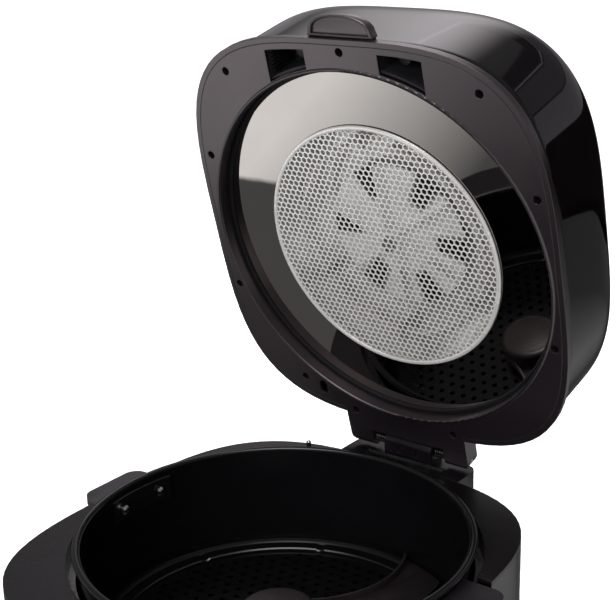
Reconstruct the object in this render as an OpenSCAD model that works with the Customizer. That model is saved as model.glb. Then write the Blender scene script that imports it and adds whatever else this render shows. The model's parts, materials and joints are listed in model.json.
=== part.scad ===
// Countertop fryer of the hot-air kind. A round pot with a turning paddle stands in a squarish body.
// A deep flip-up lid holds the heating element, the fan and the fan motor, and stands open here.

/* [Body] */
// How far the body reaches out beyond the pot's rim on each side
body_side = 11; // [9:0.5:16]
// How far the body reaches out beyond a square round the pot's rim, at the front and the rear
body_end = 23.5; // [20:0.5:32]
// Place of the outline's centre along Y, measured from the pot's axis
body_mid_y = -8; // [-12:0.5:-4]
// Squareness of the body's outline, where 2 is an ellipse
body_square = 3.3; // [3:0.1:4.5]
// Height of the deck's top face above the table
deck_z = 180; // [170:1:210]
// Thickness of the deck's top plate
deck_t = 3; // [2:0.1:4]
// Gap between the pot's rim and the round opening in the deck
opening_gap = 4.5; // [3.5:0.1:5.5]
// Thickness of the collar round the opening
collar_t = 2.5; // [1.6:0.1:3]
// Depth of the collar below the deck's top face
collar_d = 16.2; // [14:0.1:20]
// Wall of the outer housing
wall = 2.6; // [2:0.1:4]
// Height of the feet
foot_h = 8; // [5:0.5:12]
// Radius of a foot
foot_r = 13; // [9:0.5:16]
// Distance of a foot's middle from the side of the body
foot_side = 52; // [44:1:64]
// Distance of a foot's middle from the front and the rear of the body
foot_end = 56.5; // [48:0.5:70]
// Thickness of the base plate
base_t = 3; // [2:0.1:4]

/* [Handle notches] */
// Depth of the notches that the pot's handles lie in
notch_d = 12; // [11:0.1:13]
// Space between a handle's side and the notch
notch_gap = 7; // [3:0.5:9]

/* [Pot] */
// How far the rolled rim stands out beyond the pot's wall
rim_w = 4.6; // [3.8:0.1:5.2]
// Height of the rim's top above the deck
rim_rise = 11.3; // [10.5:0.1:11.6]
// Outer radius of the pot's wall
pot_r = 140.4; // [138:0.1:141]
// Wall of the pot
pot_t = 1.4; // [1:0.1:2]
// Inner depth of the pot
pot_depth = 88; // [80:0.5:92]
// Fillet between the pot's wall and floor
pot_fillet = 12; // [6:0.5:14]
// Bore radius of the pot's centre spindle
spindle_r = 7; // [6.4:0.1:7.5]
// Wall of the centre spindle
spindle_t = 2; // [1.5:0.1:2.4]
// Height of the spindle above the pot's floor
spindle_h = 12; // [10:0.5:14]

/* [Pot handles] */
// Length of a handle along the pot's side
handle_len = 60; // [50:0.5:64]
// How far a handle stands out beyond the body's side
handle_out = 17; // [12:0.5:22]
// Place of the handles' middle along Y
handle_y = 3; // [-2:0.5:5]
// Thickness of a handle
handle_t = 7; // [5:0.1:8]
// Corner radius of a handle
handle_corner = 11; // [4:0.5:11]
// Height of a handle's bracket on the pot's wall
plate_h = 19; // [15:0.5:22]
// Thickness of the inner backing plate
plate_t = 1.2; // [0.8:0.1:2]
// Distance between the two rivets of a handle
rivet_pitch = 39; // [30:0.5:44]
// Radius of a rivet's shank
rivet_r = 2.2; // [1.6:0.1:2.6]

/* [Tray and paddle] */
// Gap between the perforated tray and the pot's wall
tray_gap = 7; // [5:0.5:12]
// Width of the tray's raised bead
bead_w = 12; // [8:0.5:14]
// Height of the bead's top above the pot's floor
bead_h = 7; // [5.5:0.1:8]
// Height of the tray's floor above the pot's floor
tray_floor_h = 3; // [2:0.1:4]
// Thickness of the tray's sheet
tray_t = 1; // [0.8:0.1:1.4]
// Number of notches across the bead
bead_notches = 8; // [4:1:12]
// Radius of the paddle's hub
hub_r = 28; // [24:0.5:32]
// Height of the hub's crown above the pot's floor
hub_h = 28; // [24:0.5:34]
// Gap between the tip of the paddle's blade and the pot's wall
blade_gap = 2.6; // [2:0.1:12]
// Thickness of the blade
blade_t = 2; // [1.5:0.1:3]
// Height of the blade
blade_h = 7.5; // [5:0.5:12]
// Radius that the blade is bent to
blade_bend = 80; // [74:1:90]
// Width of the scoop's floor behind the blade
scoop_w = 34; // [20:1:40]

/* [Drive] */
// Radius of the drive shaft
shaft_r = 5; // [4:0.1:5.5]
// Running clearance of shafts in their bores
run = 0.05; // [0.02:0.01:0.09]
// Tooth size, the pitch diameter over the number of teeth
tooth_m = 1.25; // [1.1:0.05:1.4]
// Teeth of the drive gear
gear_teeth = 48; // [40:1:52]
// Teeth of the pinion
pinion_teeth = 16; // [16:1:20]
// Backlash between the teeth at the pitch circle
backlash = 0.4; // [0.2:0.05:0.6]
// Width of the gear
gear_w = 8; // [6:0.5:10]
// Radius of the drive motor
motor_r = 29; // [24:0.5:32]
// Room left under the drive motor
motor_room = 8; // [5:0.5:16]
// Thickness of the motor bracket
bracket_t = 3; // [2:0.1:4]

/* [Hinge] */
// Distance of the hinge's axis behind the body
hinge_back = 21; // [20:0.1:22.5]
// Height of the hinge's axis above the deck
hinge_rise = 9.6; // [9.4:0.1:10.5]
// Gap between the deck and the closed lid
lid_gap = 2; // [1.6:0.1:2.4]
// Angle that the lid stands open at
lid_open = 75.4; // [70:0.2:76]
// Radius of the hinge pin
pin_r = 2.5; // [2:0.1:3]
// Half width of the base's knuckle
knuckle_half = 22.3; // [18:0.1:24]
// Half width of the lug's notch
lug_notch = 34.5; // [32:0.5:36]
// Half width of the lug
lug_half = 56.5; // [52:0.5:60]
// Radius of the lug's barrels
barrel_r = 7.4; // [6.6:0.1:7.5]
// Wire radius of the torsion springs
wire_r = 0.9; // [0.6:0.1:1.1]

/* [Lid] */
// How far the lid's trim stands out beyond the body's side
lid_over = 0.6; // [0:0.1:2]
// How much shorter than the body the lid is, from its middle to its front and rear
lid_short = 3.6; // [2:0.1:5]
// How far the lid's middle lies behind the body's middle
lid_shift = 1.9; // [0:0.1:3]
// Squareness of the lid's outline
lid_square = 3.5; // [3.2:0.1:4.5]
// Height of the lid
lid_h = 92; // [86:0.5:100]
// Wall of the lid's outer shell
lid_wall = 2.6; // [2:0.1:3.2]
// Width of the trim band
trim_w = 4; // [3:0.1:4.5]
// Height of the trim band
trim_h = 5; // [4:0.1:6]
// Thickness of the inner flange
flange_t = 2.6; // [2:0.1:3.4]
// Gap between the pot's rim and the wall of the flange's opening
throat_gap = 2; // [1.6:0.1:2.6]
// Thickness of the throat's wall
throat_t = 2.2; // [1.5:0.1:2.4]
// Height of the mirror plate above the flange's face
mirror_z = 12; // [11.8:0.1:14]
// Thickness of the mirror plate
mirror_t = 1.2; // [0.8:0.1:2]
// Outer radius of the mesh's metal ring
mesh_r = 101.6; // [96:0.2:104]
// Width of the mesh's metal ring
mesh_ring_w = 3.6; // [3:0.1:5]
// Height of the mesh above the flange's face
mesh_z = 9.5; // [9:0.1:9.9]
// Half width of the lift tab at its root
tab_half = 28; // [22:0.5:32]
// How far the lift tab stands out of the trim
tab_reach = 16; // [12:0.5:20]
// Thickness of the lift tab
tab_t = 7; // [5:0.5:8]

/* [Heater and fan] */
// Radius of the heating element's ring
coil_r = 80; // [70:0.5:84]
// Radius of the element's tube
tube_r = 3.3; // [2.8:0.1:4]
// Height of the element above the flange's face
coil_z = 24; // [20:0.5:26]
// Outer radius of the hot-air fan
fan_r = 62; // [50:0.5:66]
// Number of blades of the hot-air fan
fan_blades = 6; // [5:1:9]
// Height of the hot-air fan's blades
fan_h = 13; // [9:0.5:14]
// Radius of the fan shaft
fan_shaft_r = 3; // [2.5:0.1:3.5]
// Radius of the fan motor
fan_motor_r = 30; // [24:0.5:34]
// Radius of the cooling fan
cool_r = 42; // [34:0.5:46]

/* [Controls] */
// Half width of the control panel
panel_half = 60; // [50:1:70]
// Height of the control panel
panel_h = 56; // [46:1:60]
// Height of the panel's middle above the table
panel_z = 118; // [100:1:125]
// Radius of the control knob
knob_r = 19; // [14:0.5:22]
// Radius of the buttons
button_r = 8; // [6:0.5:10]
// Distance of a button from the knob's axis
button_x = 41; // [35:0.5:46]
// Travel of the buttons
button_travel = 1.5; // [1:0.1:2]

/* [Hidden] */
fine = 96;
seat = 0.3;
eps = 0.01;

// Outlines that follow from the pot
rim_r = pot_r + rim_w;
pot_inner_r = pot_r - pot_t;
tray_r = pot_inner_r - tray_gap;
blade_reach = pot_inner_r - blade_gap;
opening_r = rim_r + opening_gap;
collar_r = opening_r + collar_t;
body_half_w = rim_r + body_side;
body_half_d = rim_r + body_end;
front_y = body_mid_y - body_half_d;
back_y = body_mid_y + body_half_d;
handle_reach = body_half_w + handle_out;
hinge_y = back_y + hinge_back;
lid_half_w = body_half_w + lid_over;
lid_half_d = body_half_d - lid_short;
lid_mid_y = body_mid_y + lid_shift;
lid_front_y = lid_mid_y - lid_half_d;
lid_back_y = lid_mid_y + lid_half_d;
throat_r = rim_r + throat_gap;
far = 2 * body_half_d;

// Heights in the body
rim_z = deck_z + rim_rise;
pot_floor_z = rim_z - pot_depth;
pot_bottom_z = pot_floor_z - pot_t;
well_gap = 3.1;
well_t = 1.2;
well_r = pot_r + well_gap;
well_lip = 2.5;
seat_ring_h = 6.4;
seat_ring_w = 12;
seat_ring_r = pot_r - pot_fillet - seat_ring_w / 2 - 16.4;
well_floor_z = pot_bottom_z - seat - seat_ring_h;
well_under_z = well_floor_z - well_t;
post_h = 36;
bracket_z = well_under_z - post_h;
gear_z = bracket_z + 2;
notch_z = deck_z - notch_d;
notch_half = handle_len / 2 + notch_gap;
notch_in = pot_r - 10;
notch_out = handle_reach + 20;

// Places of the body's fasteners
boss_x = body_half_w - 38;
boss_y = body_half_d - 42.5;
boss_h = 32;
rib_half = 1.2;
foot_x = body_half_w - foot_side;
foot_y = body_half_d - foot_end;
boss_r = 6.5;
screw_r = 1.9;
gland_x = -62;
gland_z = 44;
gland_r = 8;
cord_r = 3.6;
hinge_screw_x = 38;
hinge_screw_heights = [deck_z - 44, deck_z - 20];

// Gears
pressure = 20;
gear_pitch_r = gear_teeth * tooth_m / 2;
pinion_pitch_r = pinion_teeth * tooth_m / 2;
gear_gap = gear_pitch_r + pinion_pitch_r;
gear_tip_r = gear_pitch_r + tooth_m;
pinion_shaft_r = 3;
motor_len = bracket_z - bracket_t - foot_h - base_t - motor_room;
post_x = gear_tip_r + 10;
post_near_y = -30;
post_far_y = gear_gap + motor_r - 6;
post_r = 5;

// Hinge and lid
hinge_z = deck_z + hinge_rise;
flange_z = deck_z + lid_gap;
axis_up = hinge_z - flange_z;
block_half = lug_half;
lug_corner = 10;
knuckle_r = 9;
block_back_y = hinge_y + knuckle_r;
lug_top = axis_up + barrel_r;
lug_front_y = hinge_y - 60;
straight_h = 60;
top_round = 16;
throat_lip_r = 1.4;
retainer_t = 1.8;
retainer_z = mirror_z - 6;
mirror_outer_r = throat_r + throat_t - 0.2;
mirror_inner_r = mesh_r - 1.6;
roof_z = mirror_z + mirror_t;
pan_t = 1.2;
pan_r = mesh_r - mesh_ring_w - 0.1;
pan_depth = 32;
pan_top_z = roof_z + pan_depth;
mesh_ring_t = 1.7;
skirt_r = mirror_inner_r - 0.2;
skirt_t = 0.8;
fan_z = pan_top_z - 10 - fan_h;
cool_z = pan_top_z + pan_t + 2.5;
stand_z = cool_z + 8;
stand_t = 2.5;
stand_leg_r = cool_r + 9;
motor_z = stand_z + stand_t;
motor_top_z = lid_h - lid_wall - 3;
terminal_angle = 11;
sleeve_r = tube_r + 0.5;
screw_head_r = 2.9;
screw_sink_r = 3.2;
screw_floor = 6;
screw_shank_r = 1.5;
screw_len = 13;
screw_front_y = lid_front_y + 9.3;
screw_rear_y = lid_back_y - 5.4;
screw_rear_x = 46.5;
screw_side_x = lid_half_w - 13;
screw_side_front_y = lid_mid_y - 0.37 * lid_half_d;
screw_side_rear_y = lid_mid_y + 0.345 * lid_half_d;
screw_corner_x = lid_half_w - 47.6;
screw_post_r = 4.4;
flange_screw_points = [
    [0, screw_front_y],
    [screw_corner_x, screw_front_y + 21.7], [-screw_corner_x, screw_front_y + 21.7],
    [screw_side_x, screw_side_front_y], [-screw_side_x, screw_side_front_y],
    [screw_side_x + 1.5, screw_side_rear_y], [-screw_side_x - 1.5, screw_side_rear_y],
    [-screw_corner_x + 15, screw_rear_y - 22],
    [screw_rear_x, screw_rear_y], [-screw_rear_x, screw_rear_y]
];
window_in = 31.5;
window_out = 67;
window_gap = 1.3;
duct_t = 1.6;
duct_top = 34;
duct_boss_r = 4.6;
duct_boss_z = 14;
duct_rib_w = 1;
thermostat_x = 58;
thermostat_y = 46;
pin_x = -14.1 - 0.4 * body_half_w;
switch_half = 8.5;
pin_y = back_y - 20;
lock_pin_r = 2;
lock_pin_rise = 9.3;
slot_y = pin_y - 2.5;
slot_half = 6;
slot_r = 3.5;
vent_half = 36;
vent_z = 45;
vent_h = 28;

// Controls
panel_t = 3.6;
panel_back = 4.6;
panel_step = 4;
knob_depth = 16;
knob_gap = 0.5;
knob_shaft_r = 3;
button_gap = 0.15;
board_y = front_y + 20;
boss_end_y = front_y + 9;

// Middle of the whole object's footprint along Y, with the lid standing open
lid_reach_y = hinge_y + (lid_back_y - trim_w - top_round - hinge_y) * cos(lid_open)
    + (lid_h - axis_up) * sin(lid_open);
front_reach_y = front_y - knob_gap - knob_depth;
frame_y = (front_reach_y + lid_reach_y) / 2;

// One quarter-symmetric outline with round corners, as a ring of points
function superellipse(half_w, half_d, power, count = 72) = [
    for (i = [0 : count - 1])
        let (a = 360 * (i + 0.5) / count)
        [half_w * sign(cos(a)) * pow(abs(cos(a)), 2 / power),
         half_d * sign(sin(a)) * pow(abs(sin(a)), 2 / power)]
];

function body_ring(inset) = superellipse(body_half_w - inset, body_half_d - inset, body_square);
function lid_ring(inset) = superellipse(lid_half_w - inset, lid_half_d - inset, lid_square);

// Flank points of one involute tooth from its root to its tip
function involute(a) = tan(a) - a * PI / 180;
function tooth_half(r, pitch_r, teeth) =
    let (base_r = pitch_r * cos(pressure),
         a = acos(min(1, base_r / max(r, base_r))))
    90 / teeth - backlash / pitch_r * 45 / PI + (involute(pressure) - involute(a)) * 180 / PI;
function tooth_points(teeth) =
    let (pitch_r = teeth * tooth_m / 2,
         low = pitch_r - 1.2 * tooth_m,
         high = pitch_r + tooth_m,
         steps = 5)
    [for (k = [0 : teeth - 1])
        each concat(
            [for (s = [0 : steps])
                let (r = low + (high - low) * s / steps,
                     a = 360 * k / teeth - tooth_half(r, pitch_r, teeth))
                r * [cos(a), sin(a)]],
            [for (s = [steps : -1 : 0])
                let (r = low + (high - low) * s / steps,
                     a = 360 * k / teeth + tooth_half(r, pitch_r, teeth))
                r * [cos(a), sin(a)]])];

// Moves the object so that its footprint is centred on the origin
module placed() {
    translate([0, -frame_y, 0]) children();
}

// Carries a lid part, drawn shut about the throat's centre, to where the open lid holds it
module on_lid() {
    placed()
        translate([0, hinge_y, hinge_z])
            rotate([-lid_open, 0, 0])
                translate([0, -hinge_y, -axis_up]) children();
}

module body_slab(inset, z0, z1) {
    translate([0, body_mid_y, z0]) linear_extrude(z1 - z0) polygon(body_ring(inset));
}

module lid_slab(inset, z0, z1) {
    translate([0, lid_mid_y, z0]) linear_extrude(z1 - z0) polygon(lid_ring(inset));
}

// Closed skin through a stack of [inset, height] rings of the lid's outline
module lid_loft(stack) {
    rings = [for (s = stack) [for (p = lid_ring(s[0])) [p[0], p[1] + lid_mid_y, s[1]]]];
    m = len(rings[0]);
    last = len(rings) - 1;
    polyhedron(
        points = [for (r = rings) each r],
        faces = concat(
            [[for (i = [0 : m - 1]) i]],
            [[for (i = [m - 1 : -1 : 0]) last * m + i]],
            [for (k = [0 : last - 1]) for (i = [0 : m - 1])
                [k * m + i, (k + 1) * m + i, (k + 1) * m + (i + 1) % m, k * m + (i + 1) % m]]),
        convexity = 4);
}

module disc(r, z0, z1) {
    translate([0, 0, z0]) cylinder(r = r, h = z1 - z0, $fn = fine);
}

module tube(outer, inner, z0, z1) {
    difference() {
        disc(outer, z0, z1);
        disc(inner, z0 - 1, z1 + 1);
    }
}

// Box between two corners
module block(low, high) {
    translate(low) cube(high - low);
}

module round_plate(x0, x1, y0, y1, z0, z1, r) {
    block([x0 + r, y0, z0], [x1 - r, y1, z1]);
    block([x0, y0 + r, z0], [x1, y1 - r, z1]);
    for (x = [x0 + r, x1 - r])
        for (y = [y0 + r, y1 - r])
            translate([x, y, 0]) disc(r, z0, z1);
}

module on_bosses() {
    for (x = [-boss_x, boss_x])
        for (y = [-boss_y, boss_y])
            translate([x, body_mid_y + y, 0]) children();
}

module on_posts() {
    for (x = [-post_x, post_x])
        for (y = [post_near_y, post_far_y])
            translate([x, y, 0]) children();
}

module handle_notches(z0) {
    for (side = [-1, 1])
        block([min(side * notch_in, side * notch_out), handle_y - notch_half, z0],
              [max(side * notch_in, side * notch_out), handle_y + notch_half, deck_z + 10]);
}

module panel_window(gap) {
    block([-panel_half + gap, front_y - 5, panel_z - panel_h / 2 + gap],
          [panel_half - gap, front_y + 30, panel_z + panel_h / 2 - gap]);
}

// Screw lying along Y with its head at the rear
module back_hole(x, z, r, y0, y1) {
    translate([x, y0, z]) rotate([-90, 0, 0]) cylinder(r = r, h = y1 - y0, $fn = 48);
}

module housing() {
    boss_z = foot_h + base_t;
    color("#17161a") placed() {
        difference() {
            union() {
                difference() {
                    body_slab(0, foot_h, deck_z - deck_t);
                    body_slab(wall, foot_h - 1, deck_z);
                }
                intersection() {
                    body_slab(wall / 2, boss_z, boss_z + boss_h);
                    union() {
                        on_bosses() disc(boss_r, boss_z, boss_z + boss_h);
                        for (side = [-1, 1])
                            mirror([side < 0 ? 1 : 0, 0, 0])
                                for (y = [-boss_y, boss_y])
                                    block([boss_x, body_mid_y + y - rib_half, boss_z],
                                          [body_half_w, body_mid_y + y + rib_half, boss_z + boss_h]);
                    }
                }
            }
            on_bosses() disc(screw_r + run, foot_h, boss_z + boss_h - 8);
            handle_notches(notch_z);
            panel_window(0);
            back_hole(gland_x, gland_z, gland_r, 0, far);
            for (x = [-hinge_screw_x, hinge_screw_x])
                for (z = hinge_screw_heights)
                    back_hole(x, z, screw_r + run, 0, far);
        }
    }
}

module deck() {
    color("#2b272d") placed()
        difference() {
            union() {
                body_slab(0, deck_z - deck_t, deck_z);
                disc(collar_r, deck_z - collar_d, deck_z - eps);
            }
            disc(opening_r, deck_z - collar_d - 1, deck_z + 1);
            handle_notches(notch_z);
            translate([pin_x, pin_y, 0]) disc(lock_pin_r + run, deck_z - 20, deck_z + 1);
        }
}

module base_plate() {
    slot_count = 9;
    slot_pitch = 12;
    slot_w = 4;
    slot_len = 40;
    color("#1f1d20") placed()
        difference() {
            body_slab(wall + 0.2, foot_h, foot_h + base_t);
            on_bosses() disc(screw_r + 0.2, 0, foot_h + base_t + 1);
            for (i = [0 : slot_count - 1])
                for (y = [body_mid_y - 54, body_mid_y + 30])
                    translate([(i - (slot_count - 1) / 2) * slot_pitch, y, 0])
                        block([-slot_w / 2, 0, 0], [slot_w / 2, slot_len, foot_h + base_t + 1]);
        }
}

module feet() {
    color("#111112") placed()
        for (x = [-foot_x, foot_x])
            for (y = [-foot_y, foot_y])
                translate([x, body_mid_y + y, 0]) {
                    disc(foot_r - 1.5, 0, 1.5 + eps);
                    disc(foot_r, 1.5, foot_h);
                }
}

module base_screws() {
    head_h = 2.4;
    color("#8c8c8e") placed()
        on_bosses()
            difference() {
                union() {
                    disc(screw_r * 2, foot_h - head_h, foot_h);
                    disc(screw_r, foot_h - eps, foot_h + base_t + 18);
                }
                block([-2.4, -0.5, 0], [2.4, 0.5, foot_h - head_h / 2]);
                block([-0.5, -2.4, 0], [0.5, 2.4, foot_h - head_h / 2]);
            }
}

module well_liner() {
    bush_r = shaft_r + 3 + run;
    color("#7d7b7e") placed()
        difference() {
            union() {
                tube(well_r + well_t, well_r, well_under_z, deck_z - collar_d + well_lip);
                tube(collar_r, well_r, deck_z - collar_d - well_t, deck_z - collar_d);
                disc(well_r + well_t, well_under_z, well_floor_z);
                tube(seat_ring_r + seat_ring_w / 2, seat_ring_r - seat_ring_w / 2,
                     well_floor_z - eps, well_floor_z + seat_ring_h);
            }
            disc(bush_r, well_under_z - 1, well_floor_z + 1);
            on_posts() disc(screw_r + 0.1, well_under_z - 1, well_floor_z + 1);
        }
}

module motor_bracket() {
    rim = post_r + 3;
    color("#9a9a9c") placed()
        difference() {
            union() {
                round_plate(-post_x - rim, post_x + rim, post_near_y - rim, post_far_y + rim,
                            bracket_z - bracket_t, bracket_z, rim);
                on_posts() disc(post_r, bracket_z - eps, well_under_z);
            }
            disc(shaft_r + run, bracket_z - bracket_t - 1, bracket_z + 1);
            translate([0, gear_gap, 0]) disc(pinion_shaft_r + 1, bracket_z - bracket_t - 1, bracket_z + 1);
            on_posts() disc(screw_r + run, well_under_z - 16, well_under_z + 1);
        }
}

module bracket_screws() {
    color("#a6a6a8") placed()
        on_posts() {
            disc(screw_r * 2, well_floor_z, well_floor_z + 2.2);
            disc(screw_r, well_under_z - 12, well_floor_z + eps);
        }
}

module drive_motor() {
    top = bracket_z - bracket_t;
    color("#8a8a8c") placed()
        translate([0, gear_gap, 0])
            difference() {
                union() {
                    disc(motor_r, top - motor_len, top);
                    disc(motor_r * 0.4, top - motor_len - 2, top - motor_len + eps);
                }
                disc(pinion_shaft_r + run, top - 14, top + 1);
            }
}

module shaft_bush() {
    color("#a07a3c") placed()
        difference() {
            union() {
                disc(shaft_r + 3, well_under_z - 8, well_floor_z + eps);
                disc(shaft_r + 6, well_floor_z, well_floor_z + 1.5);
            }
            disc(shaft_r + run, well_under_z - 9, well_floor_z + 3);
        }
}

module drive_shaft() {
    hex_z = pot_floor_z + spindle_h - 0.5;
    hex_r = shaft_r - 0.4;
    color("#b9b9bb") placed() {
        disc(shaft_r, bracket_z - bracket_t - 3, hex_z);
        tube(shaft_r + 3, shaft_r - 1, bracket_z + seat, gear_z);
        translate([0, 0, hex_z - eps]) cylinder(r = hex_r, h = 8, $fn = 6);
    }
}

module drive_gear() {
    color("#d9d4c8") placed()
        difference() {
            union() {
                translate([0, 0, gear_z]) linear_extrude(gear_w) polygon(tooth_points(gear_teeth));
                disc(shaft_r + 5, gear_z, gear_z + gear_w + 4);
            }
            disc(shaft_r + run, gear_z - 1, gear_z + gear_w + 5);
            for (k = [0 : 5])
                rotate(60 * k + 30)
                    translate([gear_pitch_r * 0.58, 0, 0])
                        disc(gear_pitch_r * 0.17, gear_z - 1, gear_z + gear_w + 1);
        }
}

module drive_pinion() {
    phase = gear_teeth / 4 - floor(gear_teeth / 4);
    mesh_turn = 270 + (phase - 0.5) * 360 / pinion_teeth;
    color("#b9b9bb") placed()
        translate([0, gear_gap, 0]) {
            translate([0, 0, gear_z - 0.5])
                rotate(mesh_turn)
                    linear_extrude(gear_w + 1) polygon(tooth_points(pinion_teeth));
            disc(pinion_shaft_r, bracket_z - bracket_t - 12, gear_z + gear_w + 2);
        }
}

module control_panel() {
    color("#0d0d0f") placed()
        difference() {
            union() {
                intersection() {
                    difference() {
                        body_slab(0, foot_h, deck_z - deck_t);
                        body_slab(panel_t, foot_h - 1, deck_z);
                    }
                    panel_window(seat);
                }
                intersection() {
                    difference() {
                        body_slab(wall + 0.2, foot_h, deck_z - deck_t);
                        body_slab(panel_back, foot_h - 1, deck_z);
                    }
                    panel_window(-panel_step);
                }
                for (x = [-button_x, button_x])
                    back_hole(x, panel_z, button_r + 3, front_y + 3.4, boss_end_y);
                back_hole(0, panel_z, knob_shaft_r + 4, front_y + 3, boss_end_y);
                for (x = [-panel_half + 8, panel_half - 8])
                    for (z = [-1, 1])
                        back_hole(x, panel_z + z * (panel_h / 2 - 8), 3, front_y + 3.4, board_y);
            }
            for (x = [-button_x, button_x])
                back_hole(x, panel_z, button_r + button_gap, front_y - 5, board_y);
            back_hole(0, panel_z, knob_shaft_r + run, front_y - 5, board_y);
        }
}

module control_board() {
    color("#1d5a38") placed()
        difference() {
            union() {
                block([-panel_half, board_y, panel_z - panel_h / 2],
                      [panel_half, board_y + 1.6, panel_z + panel_h / 2]);
                block([-8, board_y - 9, panel_z - 8], [8, board_y + eps, panel_z + 8]);
                for (x = [-button_x, button_x])
                    block([x - 5, board_y - 5, panel_z - 5], [x + 5, board_y + eps, panel_z + 5]);
                for (x = [-22, 22])
                    block([x - 9, board_y + 1.6 - eps, panel_z - 12], [x + 9, board_y + 8, panel_z + 14]);
            }
            back_hole(0, panel_z, knob_shaft_r + run, board_y - 20, board_y + 1);
        }
}

module control_knob() {
    flute_count = 24;
    color("#26262a") placed()
        difference() {
            union() {
                back_hole(0, panel_z, knob_r, front_y - knob_gap - knob_depth, front_y - knob_gap);
                back_hole(0, panel_z, knob_shaft_r, front_y - 1, board_y - 1);
            }
            for (k = [0 : flute_count - 1])
                translate([0, 0, panel_z])
                    rotate([0, 360 * k / flute_count, 0])
                        translate([0, 0, knob_r + 0.5])
                            rotate([-90, 0, 0])
                                translate([0, 0, front_y - 1 - knob_depth])
                                    cylinder(r = 1.1, h = knob_depth - 2, $fn = 24);
        }
}

module push_button(x) {
    placed() {
        back_hole(x, panel_z, button_r, front_y - 1.6, boss_end_y + seat + eps);
        back_hole(x, panel_z, button_r + 1.5, boss_end_y + seat, boss_end_y + seat + 1.5);
        back_hole(x, panel_z, 2.5, boss_end_y + 1, board_y - 5 - seat - button_travel);
    }
}

module start_button() {
    color("#d8d8da") push_button(button_x);
}

module stop_button() {
    color("#d8d8da") push_button(-button_x);
}

module cord_gland() {
    color("#121213") placed()
        difference() {
            union() {
                back_hole(gland_x, gland_z, gland_r - 0.1, back_y - 14, back_y + 8);
                difference() {
                    back_hole(gland_x, gland_z, gland_r + 4, back_y - 8, back_y + 3);
                    body_slab(-0.1, 0, deck_z);
                }
            }
            back_hole(gland_x, gland_z, cord_r, 0, far);
        }
}

module interlock_pin() {
    color("#b4b4b6") placed()
        translate([pin_x, pin_y, 0]) {
            disc(lock_pin_r, deck_z - deck_t - 4, deck_z + lock_pin_rise - lock_pin_r / 2);
            translate([0, 0, deck_z + lock_pin_rise - lock_pin_r / 2 - eps])
                cylinder(r1 = lock_pin_r, r2 = lock_pin_r / 2, h = lock_pin_r / 2 + eps, $fn = 48);
            disc(lock_pin_r * 2, deck_z - deck_t - 1.5, deck_z - deck_t);
        }
}

// Turns a drawing in the YZ plane into a bar along X
module bar(half) {
    translate([-half, 0, 0]) rotate([90, 0, 90]) linear_extrude(2 * half) children();
}

module x_rod(r, x0, x1) {
    translate([x0, hinge_y, hinge_z]) rotate([0, 90, 0]) cylinder(r = r, h = x1 - x0, $fn = 72);
}

module hinge_block() {
    color("#1c1b1e") placed()
        difference() {
            union() {
                intersection() {
                    bar(block_half)
                        polygon([[back_y - 12, deck_z - 64], [back_y + 4, deck_z - 64],
                                 [block_back_y, deck_z - 42], [block_back_y, deck_z],
                                 [back_y - 12, deck_z]]);
                    round_plate(-block_half, block_half, back_y - 40, block_back_y,
                                0, deck_z + 1, lug_corner);
                }
                block([-knuckle_half, hinge_y - knuckle_r, deck_z - 1],
                      [knuckle_half, block_back_y, hinge_z]);
                x_rod(knuckle_r, -knuckle_half, knuckle_half);
            }
            body_slab(-0.1, 0, deck_z + 1);
            x_rod(pin_r + run, -knuckle_half - 1, knuckle_half + 1);
            for (x = [-8.5, 8.5])
                block([x - 0.9, hinge_y - knuckle_r - 1, deck_z + 4.5],
                      [x + 0.9, hinge_y - knuckle_r + 1.4, deck_z + 10]);
            for (x = [-hinge_screw_x, hinge_screw_x])
                for (z = hinge_screw_heights) {
                    back_hole(x, z, screw_r + 0.1, 0, far);
                    back_hole(x, z, screw_r * 2 + seat, back_y + 8, far);
                }
        }
}

module hinge_screws() {
    color("#a6a6a8") placed()
        for (x = [-hinge_screw_x, hinge_screw_x])
            for (z = hinge_screw_heights) {
                back_hole(x, z, screw_r * 2, back_y + 8, back_y + 10.4);
                back_hole(x, z, screw_r, back_y - 6, back_y + 8 + eps);
            }
}

module hinge_pin() {
    color("#c8c8ca") placed() x_rod(pin_r, -lug_half + 1, lug_half - 1);
}

module hinge_springs() {
    mean_r = pin_r + seat + wire_r;
    room = lug_notch - knuckle_half;
    pitch = wire_r * 1.8;
    turns = floor((room - 2 * wire_r - 0.6) / pitch);
    start = knuckle_half + (room - turns * pitch) / 2;
    color("#b9b9bb") placed()
        for (side = [-1, 1])
            for (k = [0 : turns])
                translate([side * (start + k * pitch), hinge_y, hinge_z])
                    rotate([0, 90, 0])
                        rotate_extrude($fn = 48)
                            translate([mean_r, 0]) circle(r = wire_r, $fn = 24);
}

module hinge_strip() {
    strip_y = hinge_y - knuckle_r - 3.5;
    color("#8f8f92") placed()
        block([-lug_notch - 1.5, strip_y, deck_z], [lug_notch + 1.5, strip_y + 1, deck_z + lid_gap - 0.6]);
}

// Rounded pot corner from the floor up, as points
function corner_arc(centre_r, centre_z, r, from, to) = [
    for (k = [0 : 8])
        let (a = from + (to - from) * k / 8)
        [centre_r + r * cos(a), centre_z + r * sin(a)]
];

inner_fillet = pot_fillet - pot_t;
function fillet_rise(r) =
    let (over = r - (pot_inner_r - inner_fillet))
    over > 0 ? inner_fillet - sqrt(inner_fillet * inner_fillet - over * over) : 0;

module on_rivets() {
    for (side = [-1, 1])
        for (y = [-rivet_pitch / 2, rivet_pitch / 2])
            translate([0, handle_y + y, deck_z - handle_t + 1.2])
                rotate([0, side * 90, 0]) children();
}

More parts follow.
